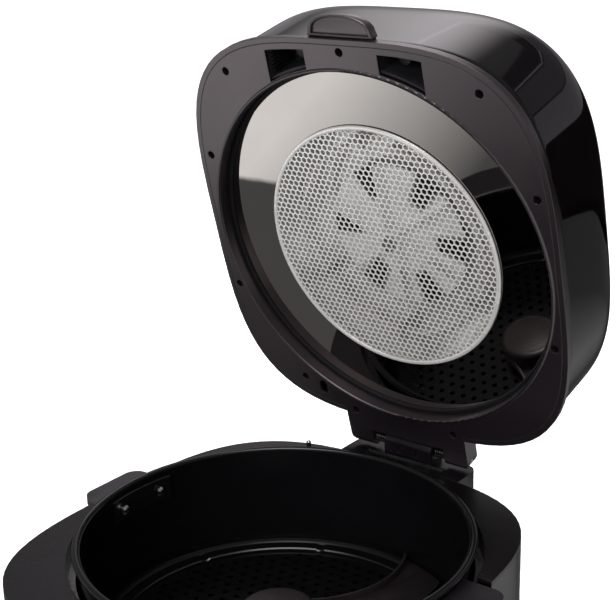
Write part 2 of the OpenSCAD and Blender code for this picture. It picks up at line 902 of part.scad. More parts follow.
module pot() {
    bead_r = (rim_r - pot_inner_r) / 2 - 0.35;
    color("#1a1a1c") placed()
        difference() {
            union() {
                rotate_extrude($fn = 120)
                    polygon(concat(
                        [[spindle_r, pot_bottom_z]],
                        corner_arc(pot_r - pot_fillet, pot_bottom_z + pot_fillet, pot_fillet, -90, 0),
                        [[pot_r, rim_z - bead_r], [pot_inner_r, rim_z - bead_r]],
                        corner_arc(pot_inner_r - inner_fillet, pot_floor_z + inner_fillet,
                                   inner_fillet, 0, -90),
                        [[spindle_r + spindle_t, pot_floor_z],
                         [spindle_r + spindle_t, pot_floor_z + spindle_h],
                         [spindle_r, pot_floor_z + spindle_h]]));
                rotate_extrude($fn = 120)
                    translate([rim_r - bead_r, rim_z - bead_r]) circle(r = bead_r, $fn = 32);
            }
            on_rivets() cylinder(r = rivet_r + run, h = far, $fn = 32);
        }
}

module pot_handle(side) {
    root_x = pot_r + 6.5;
    placed()
        mirror([side < 0 ? 1 : 0, 0, 0])
            difference() {
                union() {
                    intersection() {
                        round_plate(root_x - 30, handle_reach, handle_y - handle_len / 2,
                                    handle_y + handle_len / 2, deck_z - handle_t, deck_z, handle_corner);
                        block([root_x - 12, handle_y - handle_len, 0],
                              [handle_reach, handle_y + handle_len, deck_z]);
                    }
                    block([root_x - 14, handle_y - handle_len / 2 + 2, deck_z - handle_t - 3],
                          [root_x, handle_y + handle_len / 2 - 2, deck_z]);
                }
                disc(pot_r + 0.1, 0, deck_z + 10);
                for (y = [-rivet_pitch / 2, rivet_pitch / 2])
                    translate([0, handle_y + y, deck_z - handle_t + 1.2])
                        rotate([0, 90, 0]) cylinder(r = rivet_r + run, h = root_x - 0.5, $fn = 32);
            }
}

module handle_left() {
    color("#26262b") pot_handle(-1);
}

module handle_right() {
    color("#26262b") pot_handle(1);
}

module handle_plates() {
    low = rim_z - plate_h - 7;
    color("#1b1b1d") placed()
        difference() {
            intersection() {
                tube(pot_inner_r - 0.1, pot_inner_r - 0.1 - plate_t, low, low + plate_h);
                block([-pot_r, handle_y - handle_len / 2 - 0.5, low],
                      [pot_r, handle_y + handle_len / 2 + 0.5, low + plate_h]);
            }
            on_rivets() cylinder(r = rivet_r + run, h = far, $fn = 32);
        }
}

module rivets() {
    farther = rivet_pitch / 2 + abs(handle_y);
    head_x = sqrt(pow(pot_inner_r - 0.1 - plate_t, 2) - pow(farther + 4, 2)) - 0.1;
    color("#d8d8da") placed()
        on_rivets() {
            translate([0, 0, head_x - 2.2]) cylinder(r1 = 2.2, r2 = 4, h = 1.2, $fn = 32);
            translate([0, 0, head_x - 1 - eps]) cylinder(r = 4, h = 1, $fn = 32);
            translate([0, 0, head_x - 1]) cylinder(r = rivet_r, h = pot_r + 5 - head_x, $fn = 32);
        }
}

module tray() {
    z0 = pot_floor_z;
    inner = spindle_r + spindle_t + 0.6;
    bead_in = tray_r - bead_w;
    color("#202022") placed()
        difference() {
            union() {
                rotate_extrude($fn = 120)
                    polygon([
                        [inner, z0 + tray_floor_h], [bead_in + tray_t, z0 + tray_floor_h],
                        [bead_in + tray_t, z0 + bead_h - tray_t], [tray_r - tray_t, z0 + bead_h - tray_t],
                        [tray_r - tray_t, z0 + fillet_rise(tray_r) + 0.6],
                        [tray_r, z0 + fillet_rise(tray_r) + 0.6], [tray_r, z0 + bead_h],
                        [bead_in, z0 + bead_h], [bead_in, z0 + tray_floor_h + tray_t],
                        [inner, z0 + tray_floor_h + tray_t]]);
                tube(bead_in - 6, bead_in - 8, z0, z0 + tray_floor_h + eps);
            }
            for (k = [0 : bead_notches - 1])
                rotate(360 * (k + 0.5) / bead_notches)
                    block([bead_in - 1, -2, z0 + bead_h - tray_t / 2], [tray_r + 1, 2, z0 + bead_h + 1]);
        }
}

// Curved strip that a blade of the paddle follows, between two bending radii
module blade_strip(r0, r1, z0, z1) {
    centre_angle = 116;
    centre_d = blade_bend + hub_r - 1;
    intersection() {
        tube(blade_reach, hub_r - 1.5, z0, z1);
        rotate(centre_angle)
            translate([centre_d, 0, 0])
                tube(r1, r0, z0, z1);
        rotate(centre_angle) block([0, -2 * blade_reach, z0], [2 * blade_reach, 0, z1]);
    }
}

module paddle() {
    z0 = pot_floor_z;
    hub_z = z0 + tray_floor_h + tray_t + 0.7;
    blade_z = z0 + bead_h + 0.8;
    hub_top = z0 + hub_h - 8;
    tube_top = z0 + spindle_h;
    color("#28262a") placed()
        difference() {
            union() {
                disc(hub_r, hub_z, hub_top);
                blade_strip(blade_bend - blade_t / 2, blade_bend + blade_t / 2, blade_z, blade_z + blade_h);
                blade_strip(blade_bend - blade_t / 2, blade_bend + scoop_w, blade_z, blade_z + 1.5);
            }
            disc(spindle_r + spindle_t + 0.6, hub_z - 1, tube_top + seat);
            translate([0, 0, hub_z]) cylinder(r = shaft_r - 0.25, h = hub_h, $fn = 6);
        }
}

module paddle_cap() {
    z0 = pot_floor_z + hub_h - 8;
    color("#1d1d20") placed()
        rotate_extrude($fn = 96)
            polygon(concat(
                [[0, z0], [hub_r, z0]],
                [for (k = [0 : 9]) let (a = 10 * k) [hub_r - 6 + 6 * cos(a), z0 + 1 + 5 * sin(a)]],
                [for (k = [1 : 5])
                    let (t = k / 5)
                    [(hub_r - 6) * (1 - t), z0 + 6 + 2 * (1 - pow(1 - t, 2))]]));
}

// Lug at the rear of the flange, drawn in the YZ plane of the closed lid
module lug_bar(x0, x1, y0) {
    translate([x0, 0, 0]) rotate([90, 0, 90]) linear_extrude(x1 - x0)
        polygon([[y0, 0], [hinge_y, axis_up - barrel_r], [hinge_y, lug_top], [y0, lug_top]]);
}

module lid_rod(r, x0, x1) {
    translate([x0, hinge_y, axis_up]) rotate([0, 90, 0]) cylinder(r = r, h = x1 - x0, $fn = 72);
}

module window_cut(z0, z1) {
    difference() {
        intersection() {
            block([window_in, lid_front_y, z0], [window_out, -throat_r / 2, z1]);
            lid_slab(trim_w + lid_wall + window_gap + 1, z0 - 1, z1 + 1);
        }
        disc(throat_r + throat_t + 1.2, z0 - 2, z1 + 2);
    }
}

module on_flange_screws() {
    for (p = flange_screw_points)
        translate([p[0], p[1], 0]) children();
}

module lid_flange() {
    boss_top = 8;
    notch_front = hinge_y - knuckle_r - 1.2;
    color("#2d292f") on_lid()
        difference() {
            union() {
                lid_slab(trim_w + 0.2, 0, flange_t);
                disc(throat_r + throat_t, 0, mirror_z);
                disc(throat_r + throat_t + retainer_t, retainer_z, roof_z);
                rotate_extrude($fn = 120)
                    translate([throat_r + throat_lip_r, 0.2]) circle(r = throat_lip_r, $fn = 32);
                intersection() {
                    on_flange_screws() disc(screw_sink_r + 2, flange_t - eps, boss_top);
                    lid_slab(trim_w + 1.2, 0, boss_top + 1);
                }
                for (x = [pin_x - 6.5, pin_x + 6.5])
                    translate([x, slot_y + 4, 0]) disc(1.8, flange_t - eps, 11);
                difference() {
                    block([-lug_half, hinge_y - 32, 0], [lug_half, notch_front, lug_top]);
                    lid_slab(trim_w - 0.2, flange_t + 0.1, lug_top + 1);
                }
                difference() {
                    intersection() {
                        for (side = [0, 1])
                            mirror([side, 0, 0]) {
                                lug_bar(lug_notch, lug_half, hinge_y - 26);
                                lid_rod(barrel_r, lug_notch, lug_half);
                            }
                        round_plate(-lug_half, lug_half, lug_front_y, hinge_y + barrel_r,
                                    -1, lug_top + 1, lug_corner);
                    }
                    lid_slab(trim_w - 0.2, flange_t + 0.1, lug_top + 1);
                }
            }
            disc(throat_r, -5, mirror_z + 1);
            disc(mirror_outer_r + 0.2, mirror_z, roof_z + 1);
            on_flange_screws() {
                disc(screw_sink_r, -1, screw_floor);
                disc(screw_shank_r + 0.2, 0, lug_top + 1);
            }
            for (side = [0, 1])
                mirror([side, 0, 0]) window_cut(-1, flange_t + 1);
            hull()
                for (y = [slot_y - slot_half + slot_r, slot_y + slot_half - slot_r])
                    translate([pin_x, y, -1]) cylinder(r = slot_r, h = flange_t + 2, $fn = 32);
            block([-lug_notch, notch_front, -1], [lug_notch, hinge_y + 20, lug_top + 1]);
            lid_rod(pin_r + run, -lug_half - 1, lug_half + 1);
        }
}

module lid_trim() {
    color("#201e22") on_lid()
        difference() {
            lid_slab(0, 0, trim_h);
            lid_slab(trim_w, -1, trim_h + 1);
            block([-lug_half - seat, lug_front_y, -1], [lug_half + seat, hinge_y, trim_h + 1]);
        }
}

module lid_shell() {
    bottom = flange_t + 0.2;
    inset = trim_w;
    top = lid_h;
    post_z = 8.2;
    post_top = straight_h - 3;
    color("#0b0b0d") on_lid()
        difference() {
            union() {
                difference() {
                    lid_loft([[inset, bottom], [inset, straight_h], [inset + 1.2, top - 15],
                              [inset + 4, top - 6], [inset + 9, top - 1.4], [inset + top_round, top]]);
                    lid_loft([[inset + lid_wall, bottom - 1], [inset + lid_wall, straight_h],
                              [inset + lid_wall + 1.2, top - 16.5], [inset + lid_wall + 5, top - 7],
                              [inset + lid_wall + 10, top - lid_wall]]);
                }
                intersection() {
                    lid_slab(inset + lid_wall / 2, post_z, post_top);
                    union() {
                        on_flange_screws() disc(screw_post_r, post_z, post_top);
                        for (p = flange_screw_points)
                            rotate(atan2(p[1], p[0]))
                                block([norm(p), -rib_half, post_z],
                                      [norm(p) + 30, rib_half, post_top]);
                    }
                }
            }
            on_flange_screws() {
                disc(screw_shank_r + run, post_z - 1, screw_floor + screw_len + 1);
                disc(screw_sink_r + 0.2, bottom - 1, post_z);
            }
            intersection() {
                on_flange_screws() disc(screw_sink_r + 2.2, bottom - 1, post_z);
                lid_slab(trim_w + 1, 0, post_z + 1);
            }
            disc(throat_r + throat_t + retainer_t + seat, retainer_z - seat, roof_z + pan_t + seat);
            block([-vent_half, 0, vent_z - vent_h / 2], [vent_half, far, vent_z + vent_h / 2]);
            lid_slab(inset + 30, top - 1.2, top + 1);
        }
}

module lid_top_panel() {
    color("#08080a") on_lid()
        lid_slab(trim_w + 30.3, lid_h - 1.2, lid_h + 0.4);
}

// Half-round outline of the tab, standing out of the lid's front
function tab_outline(inset) =
    let (half = tab_half - inset, reach = tab_reach - inset, count = 28)
    [for (k = [0 : count])
        let (t = -1 + 2 * k / count)
        [half * t, -reach * pow(max(0, 1 - pow(abs(t), 2.3)), 1 / 2.3)]];

module lift_tab() {
    root_y = lid_front_y - 0.2;
    z0 = trim_h - 1.6;
    color("#232126") on_lid()
        difference() {
            union() {
                translate([0, root_y, z0]) linear_extrude(tab_t) polygon(tab_outline(0));
                block([-tab_half + 1.5, root_y - 2, trim_h + 0.2],
                      [tab_half - 1.5, root_y + trim_w + 4, z0 + tab_t]);
            }
            lid_slab(trim_w - 0.1, 0, lid_h);
            translate([0, root_y - 2, z0 - 1]) linear_extrude(3.2) polygon(tab_outline(3.4));
        }
}

module lid_seal() {
    low = rim_z - flange_z + 0.6;
    seal_w = 3.4;
    color("#0a0a0b") on_lid()
        rotate_extrude($fn = 120)
            polygon([[throat_r - 0.1, low], [throat_r - 2.6, low], [throat_r - seal_w, low + 0.8],
                     [throat_r - seal_w, mirror_z], [throat_r - 0.1, mirror_z]]);
}

module mirror_plate() {
    color("#a9a5a2") on_lid() tube(mirror_outer_r, mirror_inner_r, mirror_z, roof_z);
}

module mesh_ring() {
    color("#cfcfd1") on_lid() {
        tube(mesh_r, mesh_r - mesh_ring_w, mesh_z, mesh_z + mesh_ring_t);
        tube(skirt_r, skirt_r - skirt_t, mesh_z + mesh_ring_t - eps, roof_z);
    }
}

module mesh_screen() {
    color("#c3c3c6") on_lid() disc(mesh_r - mesh_ring_w - 0.1, mesh_z + 0.6, mesh_z + 1.4);
}

module on_terminals() {
    for (side = [-1, 1])
        rotate(-90 + side * terminal_angle) translate([coil_r, 0, 0]) children();
}

module heater_housing() {
    color("#c9c9cc") on_lid()
        difference() {
            union() {
                tube(throat_r + throat_t + retainer_t - 0.2, pan_r, roof_z, roof_z + pan_t);
                tube(pan_r + pan_t, pan_r, roof_z, pan_top_z + pan_t);
                disc(pan_r + eps, pan_top_z, pan_top_z + pan_t);
            }
            disc(fan_shaft_r + 3, pan_top_z - 1, pan_top_z + pan_t + 1);
            on_terminals() disc(sleeve_r + 2 + run, pan_top_z - 1, pan_top_z + pan_t + 1);
        }
}

module heating_element() {
    color("#a9a49e") on_lid() {
        translate([0, 0, coil_z])
            rotate(-90 + terminal_angle)
                rotate_extrude(angle = 360 - 2 * terminal_angle, $fn = 120)
                    translate([coil_r, 0]) circle(r = tube_r, $fn = 32);
        on_terminals() disc(sleeve_r, coil_z - sleeve_r, pan_top_z + 12);
    }
}

module element_clips() {
    color("#b5b5b8") on_lid()
        for (a = [30, 90, 150])
            rotate(a)
                difference() {
                    block([coil_r - tube_r - 2.5, -2, coil_z - tube_r - 2.5],
                          [coil_r + tube_r + 2.5, 2, pan_top_z]);
                    translate([coil_r, 5, coil_z])
                        rotate([90, 0, 0]) cylinder(r = tube_r + 0.25, h = 10, $fn = 48);
                }
}

module terminals() {
    color("#e6e2d8") on_lid()
        on_terminals()
            difference() {
                union() {
                    disc(sleeve_r + 2, pan_top_z - 3, pan_top_z + pan_t + 3);
                    disc(sleeve_r + 3.6, pan_top_z + pan_t, pan_top_z + pan_t + 3);
                }
                disc(sleeve_r + run, pan_top_z - 4, pan_top_z + 6);
            }
}

module thermostat() {
    color("#c7c2b4") on_lid()
        translate([thermostat_x, thermostat_y, 0]) {
            disc(8.5, pan_top_z + pan_t, pan_top_z + pan_t + 6);
            disc(5, pan_top_z + pan_t, pan_top_z + pan_t + 9);
        }
}

module window_duct(side) {
    outside = throat_r + throat_t + retainer_t + 0.3;
    inset = trim_w + lid_wall + 0.4;
    on_lid() mirror([side < 0 ? 1 : 0, 0, 0]) {
        difference() {
            intersection() {
                block([window_in - duct_t, lid_front_y, flange_t],
                      [window_out + duct_t, -throat_r / 2, duct_top]);
                lid_slab(inset, flange_t, duct_top);
            }
            disc(outside, 0, duct_top + 1);
            difference() {
                intersection() {
                    block([window_in, lid_front_y, flange_t - 1],
                          [window_out, -throat_r / 2, duct_top - duct_t]);
                    lid_slab(inset + duct_t, flange_t - 1, duct_top - duct_t);
                }
                disc(outside + duct_t, 0, duct_top + 1);
            }
        }
        for (k = [0 : 5])
            translate([0, lid_front_y + 14 + 3 * k, 0])
                block([window_out - 1.4, 0, flange_t + 3], [window_out + eps, duct_rib_w, duct_top - 2]);
        translate([window_in + 13, lid_front_y + 16.5, 0])
            disc(duct_boss_r, duct_boss_z, duct_top - eps);
    }
}

module window_duct_left() {
    color("#18161a") window_duct(-1);
}

module window_duct_right() {
    color("#18161a") window_duct(1);
}

module flange_screws() {
    head_h = 1.8;
    color("#5d5d60") on_lid()
        on_flange_screws()
            difference() {
                union() {
                    disc(screw_head_r, screw_floor - head_h, screw_floor);
                    disc(screw_shank_r, screw_floor - eps, screw_floor + screw_len);
                }
                block([-1.7, -0.4, 0], [1.7, 0.4, screw_floor - head_h / 2]);
                block([-0.4, -1.7, 0], [0.4, 1.7, screw_floor - head_h / 2]);
            }
}

module interlock_switch() {
    color("#3a3a3e") on_lid() {
        block([pin_x - switch_half, slot_y - 1, 11], [pin_x + switch_half, slot_y + 7, 21]);
        translate([pin_x, pin_y, 0]) disc(1.4, 9, 11 + eps);
    }
}

module vent_grille() {
    slat_pitch = 6;
    slat_w = 3.2;
    slats = floor((2 * vent_half - 8) / slat_pitch);
    color("#161518") on_lid()
        difference() {
            union() {
                intersection() {
                    difference() {
                        lid_slab(trim_w, 0, lid_h);
                        lid_slab(trim_w + lid_wall + 1, -1, lid_h + 1);
                    }
                    block([-vent_half + seat, 0, vent_z - vent_h / 2 + seat],
                          [vent_half - seat, far, vent_z + vent_h / 2 - seat]);
                }
                intersection() {
                    difference() {
                        lid_slab(trim_w + lid_wall + 0.1, 0, lid_h);
                        lid_slab(trim_w + lid_wall + 1.6, -1, lid_h + 1);
                    }
                    block([-vent_half - 3, 0, vent_z - vent_h / 2 - 2.5],
                          [vent_half + 3, far, min(straight_h, vent_z + vent_h / 2 + 3)]);
                }
            }
            for (k = [0 : slats - 1])
                translate([(k - (slats - 1) / 2) * slat_pitch, 0, vent_z])
                    block([-slat_w / 2, 0, -vent_h / 2 + 4], [slat_w / 2, far, vent_h / 2 - 4]);
        }
}

module motor_stand() {
    color("#b5b5b8") on_lid()
        difference() {
            union() {
                disc(stand_leg_r + 5, stand_z, stand_z + stand_t);
                for (a = [30, 150, 270])
                    rotate(a) translate([stand_leg_r, 0, 0])
                        disc(4, pan_top_z + pan_t, stand_z + eps);
            }
            disc(fan_shaft_r + 3, stand_z - 1, stand_z + stand_t + 1);
            for (a = [90, 210, 330])
                rotate(a) translate([stand_leg_r - 8, 0, 0]) disc(7, stand_z - 1, stand_z + stand_t + 1);
        }
}

module fan_motor() {
    color("#8a8a8d") on_lid()
        difference() {
            union() {
                disc(fan_motor_r, motor_z, motor_top_z);
                disc(fan_shaft_r + 2.6, stand_z, motor_z + eps);
            }
            disc(fan_shaft_r + run, stand_z - 1, motor_top_z - 3);
        }
}

module fan_wheel(r, hub_radius, z0, z1, blades, lean) {
    difference() {
        union() {
            disc(hub_radius, z0, z1 + 1.2);
            disc(r - 3, z1, z1 + 1.2);
            for (k = [0 : blades - 1])
                rotate(360 * k / blades)
                    intersection() {
                        translate([hub_radius - 2, 0, z0])
                            rotate(lean) block([0, -0.6, 0], [r * 1.3, 0.6, z1 - z0 + eps]);
                        disc(r, z0, z1 + eps);
                    }
        }
        disc(fan_shaft_r + run, z0 - 1, z1 + 3);
    }
}

module hot_air_fan() {
    color("#bdbdc0") on_lid() fan_wheel(fan_r, 9, fan_z, fan_z + fan_h, fan_blades, 28);
}

module cooling_fan() {
    color("#4a4a4e") on_lid() fan_wheel(cool_r, 8, cool_z, cool_z + 5, 9, 20);
}

module fan_nut() {
    color("#d5d5d7") on_lid()
        difference() {
            union() {
                translate([0, 0, fan_z - 4]) cylinder(r = 6.4, h = 4, $fn = 6);
                disc(4.6, fan_z - 6, fan_z - 4 + eps);
            }
            disc(fan_shaft_r + run, fan_z - 4.4, fan_z + 1);
        }
}

module fan_shaft() {
    color("#c4c4c6") on_lid() disc(fan_shaft_r, fan_z - 4, motor_top_z - 3.5);
}

housing();
deck();
base_plate();
feet();
base_screws();
well_liner();
motor_bracket();
bracket_screws();
drive_motor();
shaft_bush();
control_panel();
control_board();
cord_gland();
interlock_pin();
hinge_block();
hinge_pin();
hinge_springs();
hinge_strip();
hinge_screws();
control_knob();
start_button();
stop_button();
drive_shaft();
drive_gear();
drive_pinion();
pot();
handle_left();
handle_right();
handle_plates();
rivets();
tray();
paddle();
paddle_cap();
lid_flange();
lid_trim();
lid_shell();
lid_top_panel();
lift_tab();
lid_seal();
mirror_plate();
mesh_ring();
mesh_screen();
heater_housing();
heating_element();
element_clips();
terminals();
thermostat();
window_duct_left();
window_duct_right();
flange_screws();
interlock_switch();
vent_grille();
motor_stand();
fan_motor();
hot_air_fan();
fan_nut();
fan_shaft();
cooling_fan();
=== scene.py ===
import json
import math
import bmesh
import bpy
from mathutils import Matrix, Vector


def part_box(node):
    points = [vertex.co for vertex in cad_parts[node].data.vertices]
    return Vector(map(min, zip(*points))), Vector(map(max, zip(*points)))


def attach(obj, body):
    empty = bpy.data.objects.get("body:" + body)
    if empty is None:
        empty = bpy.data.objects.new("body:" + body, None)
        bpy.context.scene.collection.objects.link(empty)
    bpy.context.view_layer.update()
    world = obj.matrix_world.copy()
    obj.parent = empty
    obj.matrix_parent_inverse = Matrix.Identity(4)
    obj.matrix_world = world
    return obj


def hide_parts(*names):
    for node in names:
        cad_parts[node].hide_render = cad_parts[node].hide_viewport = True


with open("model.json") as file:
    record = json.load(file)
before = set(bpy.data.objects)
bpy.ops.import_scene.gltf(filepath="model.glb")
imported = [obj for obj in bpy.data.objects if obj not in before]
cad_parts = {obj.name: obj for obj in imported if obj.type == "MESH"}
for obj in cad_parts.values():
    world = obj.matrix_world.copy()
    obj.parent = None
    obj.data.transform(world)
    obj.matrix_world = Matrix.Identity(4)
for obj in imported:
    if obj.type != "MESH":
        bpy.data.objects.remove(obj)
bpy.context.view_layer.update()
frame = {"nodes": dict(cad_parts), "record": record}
nodes = frame["nodes"]
record = frame["record"]


# ---- Studio -------------------------------------------------------------------------------
# A matt painted floor that bends up into a wall behind the fryer. It stays white to the lens
# and keeps the fryer's own soft shadow, while the gloss mirrors a darker room.
scene = bpy.context.scene
scene.view_settings.view_transform = "Standard"


def add(tree, kind, inputs=None, **settings):
    node = tree.nodes.new(kind)
    for name, value in settings.items():
        setattr(node, name, value)
    for name, value in (inputs or {}).items():
        if isinstance(value, bpy.types.NodeSocket):
            tree.links.new(value, node.inputs[name])
        else:
            node.inputs[name].default_value = value
    return node


def shade(code):
    parts = [int(code[k:k + 2], 16) / 255 for k in (1, 3, 5)]
    return [c / 12.92 if c < 0.04045 else ((c + 0.055) / 1.055) ** 2.4 for c in parts] + [1.0]


def new_object(name, mesh):
    piece = bpy.data.objects.new(name, mesh)
    scene.collection.objects.link(piece)
    return piece


def mesh_from(shape, name):
    mesh = bpy.data.meshes.new(name)
    shape.to_mesh(mesh)
    shape.free()
    return mesh


def blank_material(name):
    material = bpy.data.materials.new(name)
    material.use_nodes = True
    material.node_tree.nodes.clear()
    return material, material.node_tree


# Matt white paint: bare white to the lens. In reflections it is a grey floor with a bright patch
# at the front left and a softer one on the right, as a table between dark curtains would be.
white_paint, tree = blank_material("matt_white_paint")
paths = add(tree, "ShaderNodeLightPath")
coords = add(tree, "ShaderNodeTexCoord")
spot = add(tree, "ShaderNodeSeparateXYZ", {0: coords.outputs["Object"]})
mottle = add(tree, "ShaderNodeTexNoise", {"Vector": coords.outputs["Object"], "Scale": 9.0})
tone = add(tree, "ShaderNodeMix", {0: mottle.outputs["Fac"], 6: shade("#dededd"),
                                   7: shade("#e6e6e5")}, data_type="RGBA")
matt = add(tree, "ShaderNodeBsdfDiffuse", {"Color": tone.outputs[2]})
away = add(tree, "ShaderNodeVectorMath", {0: coords.outputs["Object"]}, operation="LENGTH")
lens_level = add(tree, "ShaderNodeMapRange", {"Value": away.outputs["Value"], "From Min": 0.3,
                                              "From Max": 1.2, "To Min": 0.6, "To Max": 1.0})
lens_level = add(tree, "ShaderNodeMath", {0: lens_level.outputs[0],
                                          1: paths.outputs["Is Camera Ray"]}, operation="MULTIPLY")
glow = add(tree, "ShaderNodeEmission", {"Strength": lens_level.outputs[0]})
both = add(tree, "ShaderNodeAddShader", {0: matt.outputs[0], 1: glow.outputs[0]})
front = add(tree, "ShaderNodeMapRange", {"Value": spot.outputs[1], "From Min": -0.295,
                                         "From Max": -0.305})
leftward = add(tree, "ShaderNodeMapRange", {"Value": spot.outputs[0], "From Min": -0.25,
                                            "From Max": -0.6, "To Min": 0.05, "To Max": 1.15})
patch = add(tree, "ShaderNodeMath", {0: front.outputs[0], 1: leftward.outputs[0]},
            operation="MULTIPLY")
rightward = add(tree, "ShaderNodeMapRange", {"Value": spot.outputs[0], "From Min": 0.12,
                                             "From Max": 0.3, "To Min": 0.1, "To Max": 0.6})
near = add(tree, "ShaderNodeMapRange", {"Value": spot.outputs[1], "From Min": 1.1,
                                        "From Max": 0.5, "To Min": 0.2, "To Max": 1.0})
far = add(tree, "ShaderNodeMath", {0: spot.outputs[1], 1: 1.65}, operation="LESS_THAN")
near = add(tree, "ShaderNodeMath", {0: near.outputs[0], 1: far.outputs[0]}, operation="MULTIPLY")
beside = add(tree, "ShaderNodeMath", {0: rightward.outputs[0], 1: near.outputs[0]},
             operation="MULTIPLY")
table_level = add(tree, "ShaderNodeMath", {0: patch.outputs[0], 1: beside.outputs[0]},
                  operation="MAXIMUM")
curtain_top = 3.0
high = add(tree, "ShaderNodeMapRange", {"Value": spot.outputs[2], "From Max": curtain_top})
curtain = add(tree, "ShaderNodeValToRGB", {0: high.outputs[0]})
curtain.color_ramp.interpolation = "CONSTANT"
curtain.color_ramp.elements.remove(curtain.color_ramp.elements[1])
curtain.color_ramp.elements[0].color = (0.008, 0.006, 0.006, 1.0)
folds = ((0.70, 0.36), (1.46, 0.03), (1.51, 0.18), (2.42, 0.04), (2.48, 0.6), (2.53, 0.05))
for height, grey in folds:
    stop = curtain.color_ramp.elements.new(height / curtain_top)
    stop.color = (grey, grey * 0.95, grey, 1.0)
left_half = add(tree, "ShaderNodeMapRange", {"Value": spot.outputs[0], "From Min": 0.2,
                                             "From Max": -0.2, "To Max": 0.2})
curtain = add(tree, "ShaderNodeMix", {0: 1.0, 6: curtain.outputs[0], 7: left_half.outputs[0]},
              data_type="RGBA", blend_type="LIGHTEN")
upright = add(tree, "ShaderNodeMath", {0: spot.outputs[2], 1: 0.02}, operation="GREATER_THAN")
level = add(tree, "ShaderNodeMix", {0: upright.outputs[0], 6: table_level.outputs[0],
                                    7: curtain.outputs[2]}, data_type="RGBA")
mirrored = add(tree, "ShaderNodeEmission", {"Color": level.outputs[2]})
chosen = add(tree, "ShaderNodeMixShader", {0: paths.outputs["Is Glossy Ray"], 1: both.outputs[0],
                                           2: mirrored.outputs[0]})
add(tree, "ShaderNodeOutputMaterial", {"Surface": chosen.outputs[0]})

sweep_half, sweep_front, sweep_back, sweep_top = 3.0, -3.0, 2.2, 3.0
sweep_bend, bend_steps = 0.6, 12
sweep_path = [(sweep_front, 0.0), (sweep_back - sweep_bend, 0.0)]
for step in range(1, bend_steps + 1):
    turn = math.pi / 2 * step / bend_steps
    sweep_path.append((sweep_back - sweep_bend + sweep_bend * math.sin(turn),
                       sweep_bend - sweep_bend * math.cos(turn)))
sweep_path.append((sweep_back, sweep_top))
shape = bmesh.new()
rows = [[shape.verts.new((x, y, z)) for x in (-sweep_half, sweep_half)] for y, z in sweep_path]
for near, far in zip(rows, rows[1:]):
    shape.faces.new((near[0], near[1], far[1], far[0])).smooth = True
mesh = mesh_from(shape, "sweep")
mesh.materials.append(white_paint)
new_object("sweep", mesh)

world = bpy.data.worlds.new("studio")
scene.world = world
world.use_nodes = True
world.node_tree.nodes.clear()
paths = add(world.node_tree, "ShaderNodeLightPath")
air = add(world.node_tree, "ShaderNodeMapRange",
          {"Value": paths.outputs["Is Camera Ray"], "To Min": 0.18, "To Max": 1.0})
sky = add(world.node_tree, "ShaderNodeBackground", {"Color": shade("#ffffff"),
                                                    "Strength": air.outputs[0]})
add(world.node_tree, "ShaderNodeOutputWorld", {"Surface": sky.outputs[0]})


def aimed(piece, place, target):
    piece.location = place
    piece.rotation_mode = "QUATERNION"
    piece.rotation_quaternion = (Vector(target) - Vector(place)).to_track_quat("-Z", "Y")
    piece.visible_camera = False


def softbox(name, place, target, width, height, watts):
    lamp = bpy.data.lights.new(name, "AREA")
    lamp.shape, lamp.size, lamp.size_y, lamp.energy = "RECTANGLE", width, height, watts
    box = new_object(name, lamp)
    aimed(box, place, target)
    box.visible_glossy = False


# Each softbox only lights. What the gloss mirrors of it is a round glow that dies out softly.
def glow_card(name, place, target, radius, strength):
    material, tree = blank_material(name)
    coords = add(tree, "ShaderNodeTexCoord")
    away = add(tree, "ShaderNodeVectorMath", {0: coords.outputs["Object"]}, operation="LENGTH")
    fade = add(tree, "ShaderNodeMapRange",
               {"Value": away.outputs["Value"], "From Min": radius, "From Max": 0.0,
                "To Max": strength}, interpolation_type="SMOOTHSTEP")
    light = add(tree, "ShaderNodeEmission", {"Color": shade("#fff7fb"),
                                             "Strength": fade.outputs[0]})
    clear = add(tree, "ShaderNodeBsdfTransparent")
    both = add(tree, "ShaderNodeAddShader", {0: light.outputs[0], 1: clear.outputs[0]})
    add(tree, "ShaderNodeOutputMaterial", {"Surface": both.outputs[0]})
    shape = bmesh.new()
    bmesh.ops.create_circle(shape, cap_ends=True, segments=48, radius=radius)
    mesh = mesh_from(shape, name)
    mesh.materials.append(material)
    card = new_object(name, mesh)
    aimed(card, place, target)
    card.visible_diffuse = False
    card.visible_shadow = False


middle = (0.0, 0.0, 0.25)
softbox("key_overhead_left", (-0.9, 0.75, 1.35), middle, 1.3, 1.0, 30)
softbox("fill_front", (0.3, -1.7, 0.9), middle, 1.4, 0.9, 32)
glow_card("glow_overhead", (-0.58, 1.09, 1.48), (0.05, 0.13, 0.52), 0.74, 2.2)
glow_card("glow_above", (0.1, -0.35, 1.5), (0.0, 0.0, 0.2), 0.8, 6.0)


# ---- Camera -------------------------------------------------------------------------------
# It stands to the front right and looks slightly down. Its place is worked out from the middle
# of the pot's rim, which is the roundest and best known shape of the fryer.
pot_low, pot_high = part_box("pot")
rim_centre = Vector(((pot_low.x + pot_high.x) / 2, (pot_low.y + pot_high.y) / 2, pot_high.z))
turn, rise, roll = math.radians(37.79), math.radians(17.93), math.radians(-1.49)
eye_far, eye_right, eye_up = 0.9631, 0.02807, 0.16336
back = Vector((math.sin(turn) * math.cos(rise), -math.cos(turn) * math.cos(rise), math.sin(rise)))
right = Vector((math.cos(turn), math.sin(turn), 0.0))
up = back.cross(right)
camera = bpy.data.cameras.new("camera")
camera.sensor_width = 36.0
camera.lens = 78.38
camera.clip_start, camera.clip_end = 0.01, 20.0
eye = new_object("camera", camera)
cam_x = right * math.cos(roll) + up * math.sin(roll)
cam_y = up * math.cos(roll) - right * math.sin(roll)
turned = Matrix((cam_x, cam_y, back)).transposed().to_4x4()
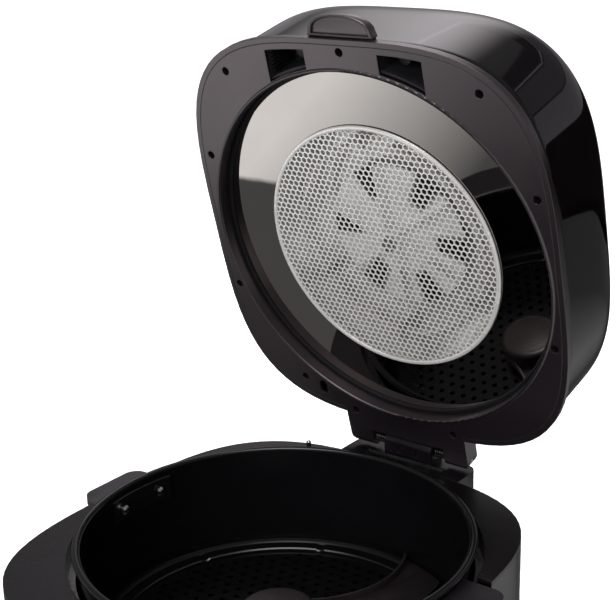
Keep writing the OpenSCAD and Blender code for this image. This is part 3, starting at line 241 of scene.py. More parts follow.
eye.matrix_world = Matrix.Translation(
    rim_centre + back * eye_far + right * eye_right + up * eye_up) @ turned
scene.camera = eye


# ---- Feet, base plate and cord gland ------------------------------------------------------
# Four soft rubber feet are pressed into a vented ABS plate, which four steel screws hold to the
# housing from below. The cord would leave through the rubber gland low at the back.
MM = 0.001
body_of = {n: body for body, members in record["behaviour"]["bodies"].items() for n in members}


# A finish: two tones in clouds of the size of patch, a roughness that follows them, and a fine
# grain of the size of grain. A given edge rounds the shading at sharp corners.
def surface(name, dark, light, patch, rough, grain, relief, edge=0.0, **extra):
    material, tree = blank_material(name)
    place = add(tree, "ShaderNodeTexCoord").outputs["Object"]
    cloud = add(tree, "ShaderNodeTexNoise",
                {"Vector": place, "Scale": 1 / patch, "Detail": 4.0, "Roughness": 0.6})
    speck = add(tree, "ShaderNodeTexNoise", {"Vector": place, "Scale": 1 / grain, "Detail": 2.0})
    ramp = add(tree, "ShaderNodeMapRange",
               {"Value": cloud.outputs["Fac"], "From Min": 0.3, "From Max": 0.7})
    tone = add(tree, "ShaderNodeMix", {0: ramp.outputs[0], 6: shade(dark), 7: shade(light)},
               data_type="RGBA")
    level = add(tree, "ShaderNodeMapRange",
                {"Value": ramp.outputs[0], "To Min": rough[0], "To Max": rough[1]})
    bump = add(tree, "ShaderNodeBump", {"Height": speck.outputs["Fac"], "Strength": relief,
                                        "Distance": grain * 0.2})
    if edge:
        soft = add(tree, "ShaderNodeBevel", {"Radius": edge}, samples=4)
        tree.links.new(soft.outputs[0], bump.inputs["Normal"])
    sockets = {"Base Color": tone.outputs[2], "Roughness": level.outputs[0],
               "Normal": bump.outputs[0]}
    sockets.update(extra)
    shader = add(tree, "ShaderNodeBsdfPrincipled", sockets)
    add(tree, "ShaderNodeOutputMaterial", {"Surface": shader.outputs[0]})
    return material


def dress(material, *names):
    for name in names:
        place = nodes[name].material_slots[0]
        place.link = "OBJECT"
        place.material = material


def merged(mesh):
    shape = bmesh.new()
    shape.from_mesh(mesh)
    bmesh.ops.remove_doubles(shape, verts=shape.verts, dist=2e-6)
    return shape


# A finished piece takes the place and the body of the CAD node it stands for, and the node is hidden.
def stand_in(name, mesh, material, *replaced):
    mesh.materials.clear()
    mesh.materials.append(material)
    piece = new_object(name, mesh)
    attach(piece, body_of[replaced[0]])
    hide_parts(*replaced)
    return piece


def rounded(name, material, edge, angle=35.0):
    shape = merged(nodes[name].data)
    bmesh.ops.dissolve_limit(shape, angle_limit=math.radians(0.4), verts=shape.verts,
                             edges=shape.edges)
    mesh = mesh_from(shape, name + "_moulded")
    mesh.shade_smooth()
    piece = stand_in(name + "_moulded", mesh, material, name)
    bevel = piece.modifiers.new("edge", "BEVEL")
    bevel.width = edge
    bevel.segments = 2
    bevel.limit_method = "ANGLE"
    bevel.angle_limit = math.radians(angle)
    bevel.harden_normals = True


# Nitrile rubber: dull, nearly black, a little dusty
rubber = surface("nitrile_rubber", "#0d0d0d", "#161515", 20 * MM, (0.7, 0.85), 0.8 * MM, 0.25)
# Moulded ABS of the hidden parts: satin black with a fine eroded grain
inner_abs = surface("eroded_black_abs", "#151416", "#1b191c", 30 * MM, (0.45, 0.58), 0.9 * MM, 0.2,
                    IOR=1.53)
# Zinc plated steel: a slightly blue, soft metal shine
zinc = surface("zinc_plated_steel", "#a3a5a8", "#b9babc", 12 * MM, (0.28, 0.42), 1.2 * MM, 0.08,
               Metallic=1.0)
# Bright screw steel: harder shine than the zinc, in darker and lighter clouds
screw_steel = surface("bright_screw_steel", "#8f9092", "#c2c2c4", 4 * MM, (0.18, 0.34), 0.6 * MM,
                      0.06, Metallic=1.0)
dress(rubber, "feet", "cord_gland")
dress(inner_abs, "base_plate")
dress(zinc, "base_screws")


# ---- Housing and control panel ------------------------------------------------------------
# One deep ABS shell, polished in the mould so that it shines like piano lacquer. The panel is a
# separate gloss moulding in the front, with a ribbed knob and two satin buttons.
# The upright walls follow one smooth outline, so their facets get its true normals and the
# shine runs round them in one piece.
def outline_normals(mesh, half_w, half_d, power, mid_y, place):
    back_to_flat = place.inverted()
    to_world = place.to_3x3()
    to_flat = back_to_flat.to_3x3()
    normals = [Vector(c.vector) for c in mesh.corner_normals]
    for face in mesh.polygons:
        facing = to_flat @ face.normal
        if abs(facing.z) > 0.3:
            continue
        for loop in face.loop_indices:
            p = back_to_flat @ mesh.vertices[mesh.loops[loop].vertex_index].co
            u, v = p.x / half_w, (p.y - mid_y) / half_d
            if abs((abs(u) ** power + abs(v) ** power) ** (1 / power) - 1) > 0.0015:
                continue
            n = Vector((math.copysign(abs(u) ** (power - 1), u) / half_w,
                        math.copysign(abs(v) ** (power - 1), v) / half_d, 0.0)).normalized()
            if n.dot(facing) > 0.9:
                normals[loop] = to_world @ n
    mesh.normals_split_custom_set(normals)


def smoothed(mesh, crease):
    mesh.shade_smooth()
    mesh.set_sharp_from_angle(angle=math.radians(crease))


def polished(name, material, half_w, half_d, power, mid_y, place):
    mesh = mesh_from(merged(nodes[name].data), name + "_polished")
    smoothed(mesh, 30)
    outline_normals(mesh, half_w, half_d, power, mid_y, place)
    stand_in(name + "_polished", mesh, material, name)


pot_place = Matrix.Translation((0.0, rim_centre.y, 0.0))
body_outline = (156 * MM, 168.5 * MM, 3.3, -8 * MM)
# Polished ABS: deep black under a clear shine, with faint wipe marks in the shine
gloss_abs = surface("polished_black_abs", "#0d090c", "#120e11", 50 * MM, (0.03, 0.06), 4 * MM, 0.01,
                    IOR=1.53)
polished("housing", gloss_abs, *body_outline, pot_place)
polished("control_panel", gloss_abs, *body_outline, pot_place)
# Satin grey ABS of the buttons: pale, with a soft even shine
button_abs = surface("satin_grey_abs", "#a9a9ab", "#b5b5b6", 20 * MM, (0.35, 0.45), 0.7 * MM, 0.1,
                     IOR=1.53)
# Spark eroded ABS: charcoal with a slight plum cast and a fine even grain
charcoal_abs = surface("eroded_charcoal_abs", "#130f13", "#181418", 60 * MM, (0.3, 0.37), 0.9 * MM,
                       0.1, 0.8 * MM, IOR=2.1, **{"Specular Tint": shade("#fff1f6")})
rounded("start_button", button_abs, 0.6 * MM)
rounded("stop_button", button_abs, 0.6 * MM)
rounded("control_knob", charcoal_abs, 0.5 * MM, 50.0)
# Solder mask over glass cloth: a dark glassy green
board_green = surface("solder_mask", "#12402a", "#1a5236", 10 * MM, (0.3, 0.45), 1 * MM, 0.1)
dress(board_green, "control_board")


# ---- Deck, interlock pin and well ---------------------------------------------------------
# The deck is an ABS moulding with a fine grain all over. The well under its opening is drawn
# steel in grey enamel, and a steel pin beside the opening works the lid's switch.

# Spark eroded ABS of the deck: blacker than the lid's flange and a little smoother
deck_abs = surface("eroded_plum_black_abs", "#0e0b0e", "#131013", 60 * MM, (0.24, 0.32), 0.9 * MM,
                   0.06, 0.8 * MM, IOR=1.53)
polished("deck", deck_abs, *body_outline, pot_place)
# Grey enamel: smooth and glassy with soft dark and light clouds
enamel = surface("grey_enamel", "#6c696b", "#8a8787", 20 * MM, (0.22, 0.34), 2 * MM, 0.05, IOR=1.5)
dress(enamel, "well_liner")
dress(screw_steel, "interlock_pin")


# ---- Drive under the well -----------------------------------------------------------------
# A small motor turns a steel pinion, which drives a nylon gear on the shaft that carries the
# paddle. Bracket, posts and screws are zinc plated steel, and the bush is sintered bronze.
# Natural nylon of the gear: milky and rather dull
nylon = surface("natural_nylon", "#d8d0bd", "#e3dccb", 15 * MM, (0.35, 0.5), 1 * MM, 0.08, IOR=1.53)
# Sintered bronze: warm brown with fine open pores
bronze = surface("sintered_bronze", "#9c6f3a", "#b5864a", 4 * MM, (0.35, 0.5), 0.7 * MM, 0.25,
                 Metallic=1.0)
# Rolled steel of the motor cans: an even grey metal with a broad sheen
motor_steel = surface("rolled_motor_steel", "#858688", "#9b9c9d", 20 * MM, (0.3, 0.42), 1.5 * MM,
                      0.06, Metallic=1.0)
dress(zinc, "motor_bracket", "bracket_screws")
dress(motor_steel, "drive_motor")
dress(bronze, "shaft_bush")
dress(nylon, "drive_gear")
dress(screw_steel, "drive_shaft", "drive_pinion")


# ---- Hinge --------------------------------------------------------------------------------
# A moulded block on the back of the housing holds a steel pin in its knuckle. Two wound torsion
# springs on the pin lift the lid, and a thin zinc strip closes the gap in front of the knuckle.
hinge = next(j for j in record["behaviour"]["joints"] if j["name"] == "lid_hinge")
hinge_place = Vector(hinge["pos_m"])
rounded("hinge_block", deck_abs, 0.8 * MM)
dress(screw_steel, "hinge_pin")
dress(zinc, "hinge_strip", "hinge_screws")


def tree_with(name, **kinds):
    tree = bpy.data.node_groups.new(name, "GeometryNodeTree")
    for socket, kind in kinds.items():
        tree.interface.new_socket(name=socket, in_out="INPUT", socket_type="NodeSocket" + kind)
    tree.interface.new_socket(name="Result", in_out="OUTPUT", socket_type="NodeSocketGeometry")
    return tree, add(tree, "NodeGroupInput").outputs


def end_tree(tree, geometry, material):
    real = add(tree, "GeometryNodeRealizeInstances", {"Geometry": geometry})
    painted = add(tree, "GeometryNodeSetMaterial", {"Geometry": real.outputs[0],
                                                    "Material": material})
    add(tree, "NodeGroupOutput", {0: painted.outputs[0]})


def grow(name, tree, place, **values):
    carrier = new_object(name + "_carrier", bpy.data.meshes.new(name))
    builder = carrier.modifiers.new("builder", "NODES")
    builder.node_group = tree
    for item in tree.interface.items_tree:
        if item.item_type == "SOCKET" and item.name in values:
            builder[item.identifier] = values[item.name]
    ready = carrier.evaluated_get(bpy.context.evaluated_depsgraph_get())
    mesh = bpy.data.meshes.new_from_object(ready)
    carrier.modifiers.remove(builder)
    bpy.data.objects.remove(carrier)
    mesh.transform(place)
    shape = merged(mesh)
    bmesh.ops.recalc_face_normals(shape, faces=shape.faces)
    shape.to_mesh(mesh)
    shape.free()
    return mesh


tree, given = tree_with("wound_spring", Radius="Float", Wire="Float", Length="Float",
                        Turns="Float", Finish="Material")
coil = add(tree, "GeometryNodeCurveSpiral",
           {"Resolution": 28, "Rotations": given["Turns"], "Start Radius": given["Radius"],
            "End Radius": given["Radius"], "Height": given["Length"]})
ring = add(tree, "GeometryNodeCurvePrimitiveCircle", {"Resolution": 10, "Radius": given["Wire"]})
wire = add(tree, "GeometryNodeCurveToMesh", {"Curve": coil.outputs[0],
                                             "Profile Curve": ring.outputs[0], "Fill Caps": True})
end_tree(tree, wire.outputs[0], given["Finish"])
# Drawn spring wire: dark and bright streaks along the wire
spring_steel = surface("drawn_spring_steel", "#77787a", "#c9c9cb", 3 * MM, (0.15, 0.3), 0.5 * MM,
                       0.05, Metallic=1.0)
wire_r, spring_r, spring_room, spring_turns = 0.9 * MM, 3.7 * MM, 11.0 * MM, 5.5
spring_starts = (23.0 * MM, -34.0 * MM)
both_springs = bmesh.new()
for start in spring_starts:
    along = Matrix.Translation(hinge_place + Vector((start, 0, 0))) @ Matrix.Rotation(
        math.pi / 2, 4, "Y")
    mesh = grow("spring", tree, along, Radius=spring_r, Wire=wire_r, Length=spring_room,
                Turns=spring_turns, Finish=spring_steel)
    both_springs.from_mesh(mesh)
mesh = mesh_from(both_springs, "torsion_springs")
mesh.shade_smooth()
stand_in("torsion_springs", mesh, spring_steel, "hinge_springs")


# ---- Pot, handles and rivets --------------------------------------------------------------
# A drawn aluminium pot in black non-stick enamel, with a rolled rim. Each handle is a moulded
# grip held by two bright rivets that pass through a backing plate inside the wall.

# Non-stick coating: black, with soft clouds and a satin shine
coating = surface("nonstick_coating", "#0a090b", "#0c0b0d", 30 * MM, (0.19, 0.22), 1.2 * MM, 0.015,
                  IOR=1.5)
dress(coating, "pot")
# The backing plates are the same black, with a pressed edge that catches the light
pressed_plate = surface("nonstick_pressed_plate", "#0d0b0e", "#111012", 30 * MM, (0.22, 0.28),
                        1.2 * MM, 0.015, 1.2 * MM, IOR=1.9)
dress(pressed_plate, "handle_plates")
# Phenolic resin grips: dull with a slight plum cast
phenolic = surface("pressed_phenolic", "#232024", "#2a262b", 30 * MM, (0.35, 0.45), 1 * MM, 0.15,
                   IOR=1.55)
rounded("handle_left", phenolic, 1.0 * MM)
rounded("handle_right", phenolic, 1.0 * MM)
# Bright aluminium of the rivets: small clear glints
rivet_metal = surface("bright_aluminium", "#d8d8da", "#eeeeee", 4 * MM, (0.12, 0.22), 0.8 * MM,
                      0.04, Metallic=1.0)
dress(rivet_metal, "rivets")


# ---- Perforated tray ----------------------------------------------------------------------
# A pressed steel tray in the same coating lies on the pot's floor. Fat drains through staggered
# rows of round holes inside its raised bead, and eight notches cross the bead.
# Points in rows, where every second row is shifted by half the pitch
def staggered_rows(tree, given):
    row = add(tree, "ShaderNodeMath", {0: given["Pitch"], 1: math.sqrt(3) / 2}, operation="MULTIPLY")
    steps = add(tree, "ShaderNodeMath", {0: given["Count"], 1: 1.0}, operation="SUBTRACT")
    wide = add(tree, "ShaderNodeMath", {0: steps.outputs[0], 1: given["Pitch"]}, operation="MULTIPLY")
    deep = add(tree, "ShaderNodeMath", {0: steps.outputs[0], 1: row.outputs[0]}, operation="MULTIPLY")
    grid = add(tree, "GeometryNodeMeshGrid",
               {"Size X": wide.outputs[0], "Size Y": deep.outputs[0], "Vertices X": given["Count"],
                "Vertices Y": given["Count"]})
    spot = add(tree, "GeometryNodeInputPosition")
    parts = add(tree, "ShaderNodeSeparateXYZ", {0: spot.outputs[0]})
    line = add(tree, "ShaderNodeMath", {0: parts.outputs[1], 1: row.outputs[0]}, operation="DIVIDE")
    line = add(tree, "ShaderNodeMath", {0: line.outputs[0]}, operation="ROUND")
    odd = add(tree, "ShaderNodeMath", {0: line.outputs[0], 1: 1.0}, operation="PINGPONG")
    shift = add(tree, "ShaderNodeMath", {0: odd.outputs[0], 1: given["Pitch"]}, operation="MULTIPLY")
    shift = add(tree, "ShaderNodeMath", {0: shift.outputs[0], 1: 0.5}, operation="MULTIPLY")
    offset = add(tree, "ShaderNodeCombineXYZ", {0: shift.outputs[0]})
    staggered = add(tree, "GeometryNodeSetPosition", {"Geometry": grid.outputs[0],
                                                      "Offset": offset.outputs[0]})
    reach = add(tree, "ShaderNodeVectorMath", {0: spot.outputs[0]}, operation="LENGTH")
    return staggered, spot, reach


# A flat punched shape becomes a closed sheet of the given thickness.
def punched_sheet(tree, given, sheet):
    lift = add(tree, "ShaderNodeCombineXYZ", {2: given["Thickness"]})
    upper = add(tree, "GeometryNodeExtrudeMesh",
                {"Mesh": sheet.outputs[0], "Offset": lift.outputs[0], "Offset Scale": 1.0,
                 "Individual": False}, mode="FACES")
    under = add(tree, "GeometryNodeFlipFaces", {0: sheet.outputs[0]})
    closed = add(tree, "GeometryNodeJoinGeometry")
    for source in (upper, under):
        tree.links.new(source.outputs[0], closed.inputs[0])
    welded = add(tree, "GeometryNodeMergeByDistance", {"Geometry": closed.outputs[0],
                                                       "Distance": 1e-5})
    end_tree(tree, welded.outputs[0], given["Finish"])


tree, given = tree_with("perforated_floor", Inner="Float", Outer="Float", Pitch="Float",
                        Hole="Float", Thickness="Float", Count="Int", Finish="Material")
staggered, spot, reach = staggered_rows(tree, given)
band = add(tree, "ShaderNodeMath", {0: given["Hole"], 1: 1.6}, operation="MULTIPLY")
near_edge = add(tree, "ShaderNodeMath", {0: given["Inner"], 1: band.outputs[0]}, operation="ADD")
far_edge = add(tree, "ShaderNodeMath", {0: given["Outer"], 1: band.outputs[0]},
               operation="SUBTRACT")
too_near = add(tree, "ShaderNodeMath", {0: reach.outputs["Value"], 1: near_edge.outputs[0]},
               operation="LESS_THAN")
too_far = add(tree, "ShaderNodeMath", {0: reach.outputs["Value"], 1: far_edge.outputs[0]},
              operation="GREATER_THAN")
outside = add(tree, "ShaderNodeMath", {0: too_near.outputs[0], 1: too_far.outputs[0]},
              operation="ADD")
kept = add(tree, "GeometryNodeDeleteGeometry", {"Geometry": staggered.outputs[0],
                                                "Selection": outside.outputs[0]}, domain="POINT")
hole = add(tree, "GeometryNodeCurvePrimitiveCircle", {"Resolution": 14, "Radius": given["Hole"]})
holes = add(tree, "GeometryNodeInstanceOnPoints", {"Points": kept.outputs[0],
                                                   "Instance": hole.outputs[0]})
rim_out = add(tree, "GeometryNodeCurvePrimitiveCircle", {"Resolution": 160,
                                                         "Radius": given["Outer"]})
rim_in = add(tree, "GeometryNodeCurvePrimitiveCircle", {"Resolution": 64, "Radius": given["Inner"]})
loops = add(tree, "GeometryNodeJoinGeometry")
for source in (holes, rim_out, rim_in):
    tree.links.new(source.outputs[0], loops.inputs[0])
loops = add(tree, "GeometryNodeRealizeInstances", {0: loops.outputs[0]})
sheet = add(tree, "GeometryNodeFillCurve", {"Curve": loops.outputs[0]}, mode="TRIANGLES")
punched_sheet(tree, given, sheet)

tray_low, tray_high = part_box("tray")
tray_r = (tray_high.x - tray_low.x) / 2
bead_in = tray_r - 12 * MM
pot_floor_t, tray_lift = 1.4 * MM, 3 * MM
bore_r, hole_r, hole_pitch, hole_rows, sheet_t = 9.6 * MM, 2.4 * MM, 11.5 * MM, 27, 1.0 * MM
floor_under = pot_low.z + pot_floor_t + tray_lift
on_floor = Matrix.Translation((0.0, rim_centre.y, floor_under))
tray_shape = bmesh.new()
tray_shape.from_mesh(grow("tray_floor", tree, on_floor, Inner=bore_r, Outer=bead_in + 0.3 * MM,
                          Pitch=hole_pitch, Hole=hole_r, Thickness=sheet_t, Count=hole_rows,
                          Finish=coating))


def turned_shape(shape, profile, centre, steps, lower=None):
    rings = []
    for k in range(steps):
        a = 2 * math.pi * k / steps
        drop = lower(a) if lower else 0.0
        rings.append([shape.verts.new((centre.x + r * math.cos(a), centre.y + r * math.sin(a),
                                       centre.z + z - (drop if top else 0.0)))
                      for r, z, top in profile])
    for k in range(steps):
        here, there = rings[k], rings[(k + 1) % steps]
        for j in range(len(profile)):
            n = (j + 1) % len(profile)
            shape.faces.new((here[j], there[j], there[n], here[n]))


bead_h, skirt_z, bead_under = 4.0 * MM, 0.6 * MM, 2.2 * MM
bead_bend = [(0.0, 2.2 * MM), (0.5 * MM, 0.8 * MM), (1.6 * MM, 0.0)]
bead_profile = [(bead_in, 0.0, False)]
bead_profile += [(bead_in + side, bead_h - down, True) for side, down in bead_bend]
bead_profile += [(tray_r - side, bead_h - down, True) for side, down in reversed(bead_bend)]
bead_profile += [(tray_r, skirt_z, False), (tray_r - sheet_t, skirt_z, False),
                 (tray_r - sheet_t, bead_under, True), (bead_in + sheet_t, bead_under, True),
                 (bead_in + sheet_t, 0.0, False)]
notches, notch_half, notch_deep = 8, 2.2 * MM, 0.9 * MM


def notch_drop(a):
    pitch = 2 * math.pi / notches
    away = abs((a - pitch / 2) % pitch)
    away = min(away, pitch - away)
    return notch_deep if away < notch_half / bead_in else 0.0


turned_shape(tray_shape, bead_profile, Vector((0.0, rim_centre.y, floor_under)), 480, notch_drop)
bmesh.ops.recalc_face_normals(tray_shape, faces=tray_shape.faces)
mesh = mesh_from(tray_shape, "perforated_tray")
smoothed(mesh, 32)
stand_in("perforated_tray", mesh, coating, "tray")


# ---- Paddle -------------------------------------------------------------------------------
# A glass filled nylon hub with one bent blade and its scoop drops over the hexagon of the drive
# shaft. A domed cap is pressed on top.

# Glass filled nylon: brownish black, satin, with the faint swirl of the fibres
filled_nylon = surface("glass_filled_nylon", "#241e21", "#2c2628", 18 * MM, (0.3, 0.38), 1.2 * MM,
                       0.12, IOR=1.6)
rounded("paddle", filled_nylon, 0.5 * MM)
dress(filled_nylon, "paddle_cap")


# ---- Lid flange, trim, seal and tab -------------------------------------------------------
# The flange closes the lid from below and carries the throat, the hinge lugs and two air
# windows. It is moulded in charcoal ABS, and ten screws hold it in deep sinks.
lid_open = math.radians(-hinge["range_deg"][0])
lid_hinge_y = hinge_place.y - rim_centre.y
axis_up = 7.6 * MM
lid_place = (Matrix.Translation(hinge_place) @ Matrix.Rotation(-lid_open, 4, "X")
             @ Matrix.Translation((0.0, -lid_hinge_y, -axis_up)))
lid_half_w, lid_half_d, lid_square, lid_mid_y = 156.6 * MM, 164.9 * MM, 3.5, -6.1 * MM
lid_outline = (lid_half_w, lid_half_d, lid_square, lid_mid_y)
dress(charcoal_abs, "lid_flange")
polished("lid_trim", charcoal_abs, *lid_outline, lid_place)
rounded("lift_tab", charcoal_abs, 0.6 * MM)
# Silicone: soft, black, evenly dull
silicone = surface("black_silicone", "#0a0a0b", "#101011", 30 * MM, (0.5, 0.62), 1 * MM, 0.12,
                   IOR=1.43)
dress(silicone, "lid_seal")
rounded("window_duct_left", inner_abs, 0.3 * MM)
rounded("window_duct_right", inner_abs, 0.3 * MM)
# Black oxide on screw steel: dark with a cold glint
black_oxide = surface("black_oxide_steel", "#2c2c2f", "#48484c", 3 * MM, (0.25, 0.4), 0.6 * MM,
                      0.08, Metallic=1.0)
dress(black_oxide, "flange_screws")
dress(inner_abs, "interlock_switch")


# ---- Mirror plate -------------------------------------------------------------------------
# A flat ring of mirror polished steel closes the lid round the mesh and throws the heat down.
# It shows the deck and the inside of the pot upside down.

# Mirror polished stainless steel: a dark, slightly warm mirror with faint polishing lines
mirror_steel = surface("mirror_stainless_steel", "#bdb8b4", "#c2bdb9", 80 * MM, (0.015, 0.03),
                       20 * MM, 0.002, Metallic=1.0)
plate_in, plate_out, plate_z, plate_t = 100.0 * MM, 149.0 * MM, 12 * MM, 1.2 * MM
soft = 0.3 * MM


def turned_in_lid(shape, name, crease):
    bmesh.ops.recalc_face_normals(shape, faces=shape.faces)
    mesh = mesh_from(shape, name)
    mesh.transform(lid_place)
    smoothed(mesh, crease)
    return mesh


shape = bmesh.new()
turned_shape(shape, [(plate_in, plate_z + soft, False), (plate_in + soft, plate_z, False),
                     (plate_out, plate_z, False), (plate_out, plate_z + plate_t, False),
                     (plate_in, plate_z + plate_t, False)], Vector(), 360)
mesh = turned_in_lid(shape, "polished_plate", 30)
stand_in("polished_plate", mesh, mirror_steel, "mirror_plate")


# ---- Honeycomb screen and its ring --------------------------------------------------------
# A punched aluminium sheet with six-sided holes 5 mm apart guards the fan. A turned bright ring
# clamps its edge.
tree, given = tree_with("honeycomb_sheet", Radius="Float", Pitch="Float", Bridge="Float",
                        Thickness="Float", Count="Int", Finish="Material")
staggered, spot, reach = staggered_rows(tree, given)
thirds = add(tree, "GeometryNodeTriangulate", {0: staggered.outputs[0]})
cells = add(tree, "GeometryNodeDualMesh", {0: thirds.outputs[0], "Keep Boundaries": False})
margin = add(tree, "ShaderNodeMath", {0: given["Pitch"], 1: 0.45}, operation="MULTIPLY")
edge = add(tree, "ShaderNodeMath", {0: given["Radius"], 1: margin.outputs[0]}, operation="ADD")
outside = add(tree, "ShaderNodeMath", {0: reach.outputs["Value"], 1: edge.outputs[0]},
              operation="GREATER_THAN")
disc = add(tree, "GeometryNodeDeleteGeometry", {"Geometry": cells.outputs[0],
                                                "Selection": outside.outputs[0]}, domain="FACE")
past = add(tree, "ShaderNodeMath", {0: reach.outputs["Value"], 1: given["Radius"]},
           operation="GREATER_THAN")
unit = add(tree, "ShaderNodeVectorMath", {0: spot.outputs[0]}, operation="NORMALIZE")
on_edge = add(tree, "ShaderNodeVectorMath", {0: unit.outputs[0], "Scale": given["Radius"]},
              operation="SCALE")
trimmed = add(tree, "GeometryNodeSetPosition", {"Geometry": disc.outputs[0],
                                                "Selection": past.outputs[0],
                                                "Position": on_edge.outputs[0]})
split = add(tree, "GeometryNodeExtrudeMesh", {"Mesh": trimmed.outputs[0], "Offset Scale": 0.0,
                                              "Individual": True}, mode="FACES")
share = add(tree, "ShaderNodeMath", {0: given["Bridge"], 1: given["Pitch"]}, operation="DIVIDE")
share = add(tree, "ShaderNodeMath", {0: 1.0, 1: share.outputs[0]}, operation="SUBTRACT")
shrunk = add(tree, "GeometryNodeScaleElements",
             {"Geometry": split.outputs["Mesh"], "Selection": split.outputs["Top"],
              "Scale": share.outputs[0]}, domain="FACE")
sheet = add(tree, "GeometryNodeDeleteGeometry", {"Geometry": shrunk.outputs[0],
                                                 "Selection": split.outputs["Top"]}, domain="FACE")
punched_sheet(tree, given, sheet)

# Anodised aluminium sheet: bright, with a soft white bloom on the punched edges
screen_metal = surface("satin_aluminium_sheet", "#e6e4e2", "#efedeb", 10 * MM, (0.28, 0.38), 1 * MM,
                       0.06, Metallic=0.35)
# Rolled aluminium of the reflector: bright and slightly wavy, so that it glints behind the mesh
reflector = surface("rolled_aluminium", "#dddcda", "#f2f1ef", 20 * MM, (0.1, 0.26), 6 * MM, 0.45,
                    Metallic=0.8)
mesh_r, mesh_ring_w, mesh_z = 101.6 * MM, 3.6 * MM, 9.5 * MM
screen_sink, screen_lap = 0.6 * MM, 0.4 * MM
cell_pitch, bridge_w, screen_t, cell_rows = 4.9 * MM, 0.95 * MM, 0.8 * MM, 47
in_lid = lid_place @ Matrix.Translation((0.0, 0.0, mesh_z + screen_sink))
mesh = grow("screen", tree, in_lid, Radius=mesh_r - mesh_ring_w + screen_lap, Pitch=cell_pitch,
            Bridge=bridge_w, Thickness=screen_t, Count=cell_rows, Finish=screen_metal)
stand_in("honeycomb_screen", mesh, screen_metal, "mesh_screen")
# Satin nickel plate on the turned ring: pale and even
nickel = surface("satin_nickel_plate", "#dedbd8", "#e8e5e2", 20 * MM, (0.22, 0.3), 0.8 * MM, 0.03,
                 Metallic=0.45)
ring_in, ring_top, skirt_out = mesh_r - mesh_ring_w, mesh_z + 1.7 * MM, plate_in - 0.2 * MM
skirt_top, skirt_in = ring_top + 2.0 * MM, skirt_out - 0.8 * MM
outer_w, outer_h, inner_w, inner_h = 1.6 * MM, 1.4 * MM, 1.2 * MM, 1.0 * MM
profile = [(mesh_r - outer_w * (1 - math.sin(a)), mesh_z + outer_h * (1 - math.cos(a)), False)
           for a in (0.0, 0.3, 0.6, 0.9, 1.2, math.pi / 2)]
profile += [(mesh_r, ring_top, False), (skirt_out, ring_top, False), (skirt_out, skirt_top, False),
            (skirt_in, skirt_top, False), (skirt_in, ring_top, False), (ring_in, ring_top, False)]
profile += [(ring_in + inner_w * (1 - math.cos(a)), mesh_z + inner_h * (1 - math.sin(a)), False)
            for a in (0.0, 0.4, 0.8, 1.2)]
shape = bmesh.new()
turned_shape(shape, profile, Vector(), 300)
mesh = turned_in_lid(shape, "turned_ring", 40)
stand_in("turned_ring", mesh, nickel, "mesh_ring")


# ---- Heater, fan and fan motor ------------------------------------------------------------
# A sheathed heating rod is bent into one ring under a bright aluminium reflector. The fan
# behind it is pressed from aluminium sheet, and a second fan above cools the motor.

# Drawn sheath of the heating rod: a pale warm metal with a soft shine
sheath = surface("drawn_sheath", "#c4bfb9", "#e2deda", 12 * MM, (0.2, 0.32), 1.2 * MM, 0.06,
                 Metallic=0.8)
# Glazed steatite of the insulators: cream white and glassy
steatite = surface("glazed_steatite", "#e4dfd2", "#efebe0", 10 * MM, (0.12, 0.2), 1 * MM, 0.04)
dress(reflector, "heater_housing")
# Aluminium of the fan: bright blades, with painted shade darkening the disc between them
shaded_fan_aluminium, tree = blank_material("fan_aluminium_painted_shade")
coords = add(tree, "ShaderNodeTexCoord")
parts = add(tree, "ShaderNodeSeparateXYZ", {0: coords.outputs["Object"]})
turned_in = lid_place.to_3x3()
inward = turned_in @ Vector((0.0, 0.0, 1.0))
upward = turned_in @ Vector((0.0, 1.0, 0.0))
fan_disc_z, blade_deep = 34.6 * MM, 3 * MM
fan_middle = lid_place @ Vector((0.0, 0.0, fan_disc_z))
height = add(tree, "ShaderNodeVectorMath", {0: coords.outputs["Object"], 1: inward},
             operation="DOT_PRODUCT")
disc_level = fan_middle.dot(inward)
deep = add(tree, "ShaderNodeMapRange", {"Value": height.outputs["Value"],
                                        "From Min": disc_level - blade_deep,
                                        "From Max": disc_level})
across = add(tree, "ShaderNodeVectorMath", {0: coords.outputs["Object"], 1: upward},
             operation="DOT_PRODUCT")
across = add(tree, "ShaderNodeMath", {0: across.outputs["Value"], 1: fan_middle.dot(upward)},
             operation="SUBTRACT")
bearing = add(tree, "ShaderNodeMath", {0: across.outputs[0], 1: parts.outputs[0]},
              operation="ARCTAN2")
turns = add(tree, "ShaderNodeMath", {0: bearing.outputs[0], 1: 3 / math.pi, 2: 0.42},
            operation="MULTIPLY_ADD")
wave = add(tree, "ShaderNodeMath", {0: turns.outputs[0], 1: 0.5}, operation="PINGPONG")
between = add(tree, "ShaderNodeMapRange", {"Value": wave.outputs[0], "From Min": 0.26,
                                           "From Max": 0.36})
span = add(tree, "ShaderNodeCombineXYZ", {0: parts.outputs[0], 1: across.outputs[0]})
span = add(tree, "ShaderNodeVectorMath", {0: span.outputs[0]}, operation="LENGTH")
outer = add(tree, "ShaderNodeMapRange", {"Value": span.outputs["Value"], "From Min": 30 * MM,
                                         "From Max": 36 * MM})
# Painted shade: dark on the outer disc between two blades, close to the disc, where shade falls
painted_shade = add(tree, "ShaderNodeMath", {0: between.outputs[0], 1: outer.outputs[0]},
            operation="MULTIPLY")
painted_shade = add(tree, "ShaderNodeMath", {0: painted_shade.outputs[0], 1: deep.outputs[0]},
            operation="MULTIPLY")
cloud = add(tree, "ShaderNodeTexNoise", {"Vector": coords.outputs["Object"], "Scale": 60.0})
blade = add(tree, "ShaderNodeMix", {0: cloud.outputs["Fac"], 6: shade("#d6d5d3"),
                                    7: shade("#f4f3f1")}, data_type="RGBA")
# The near black colour is the painted shade between the blades
tone = add(tree, "ShaderNodeMix", {0: painted_shade.outputs[0], 6: blade.outputs[2], 7: shade("#0c0a09")},
           data_type="RGBA")
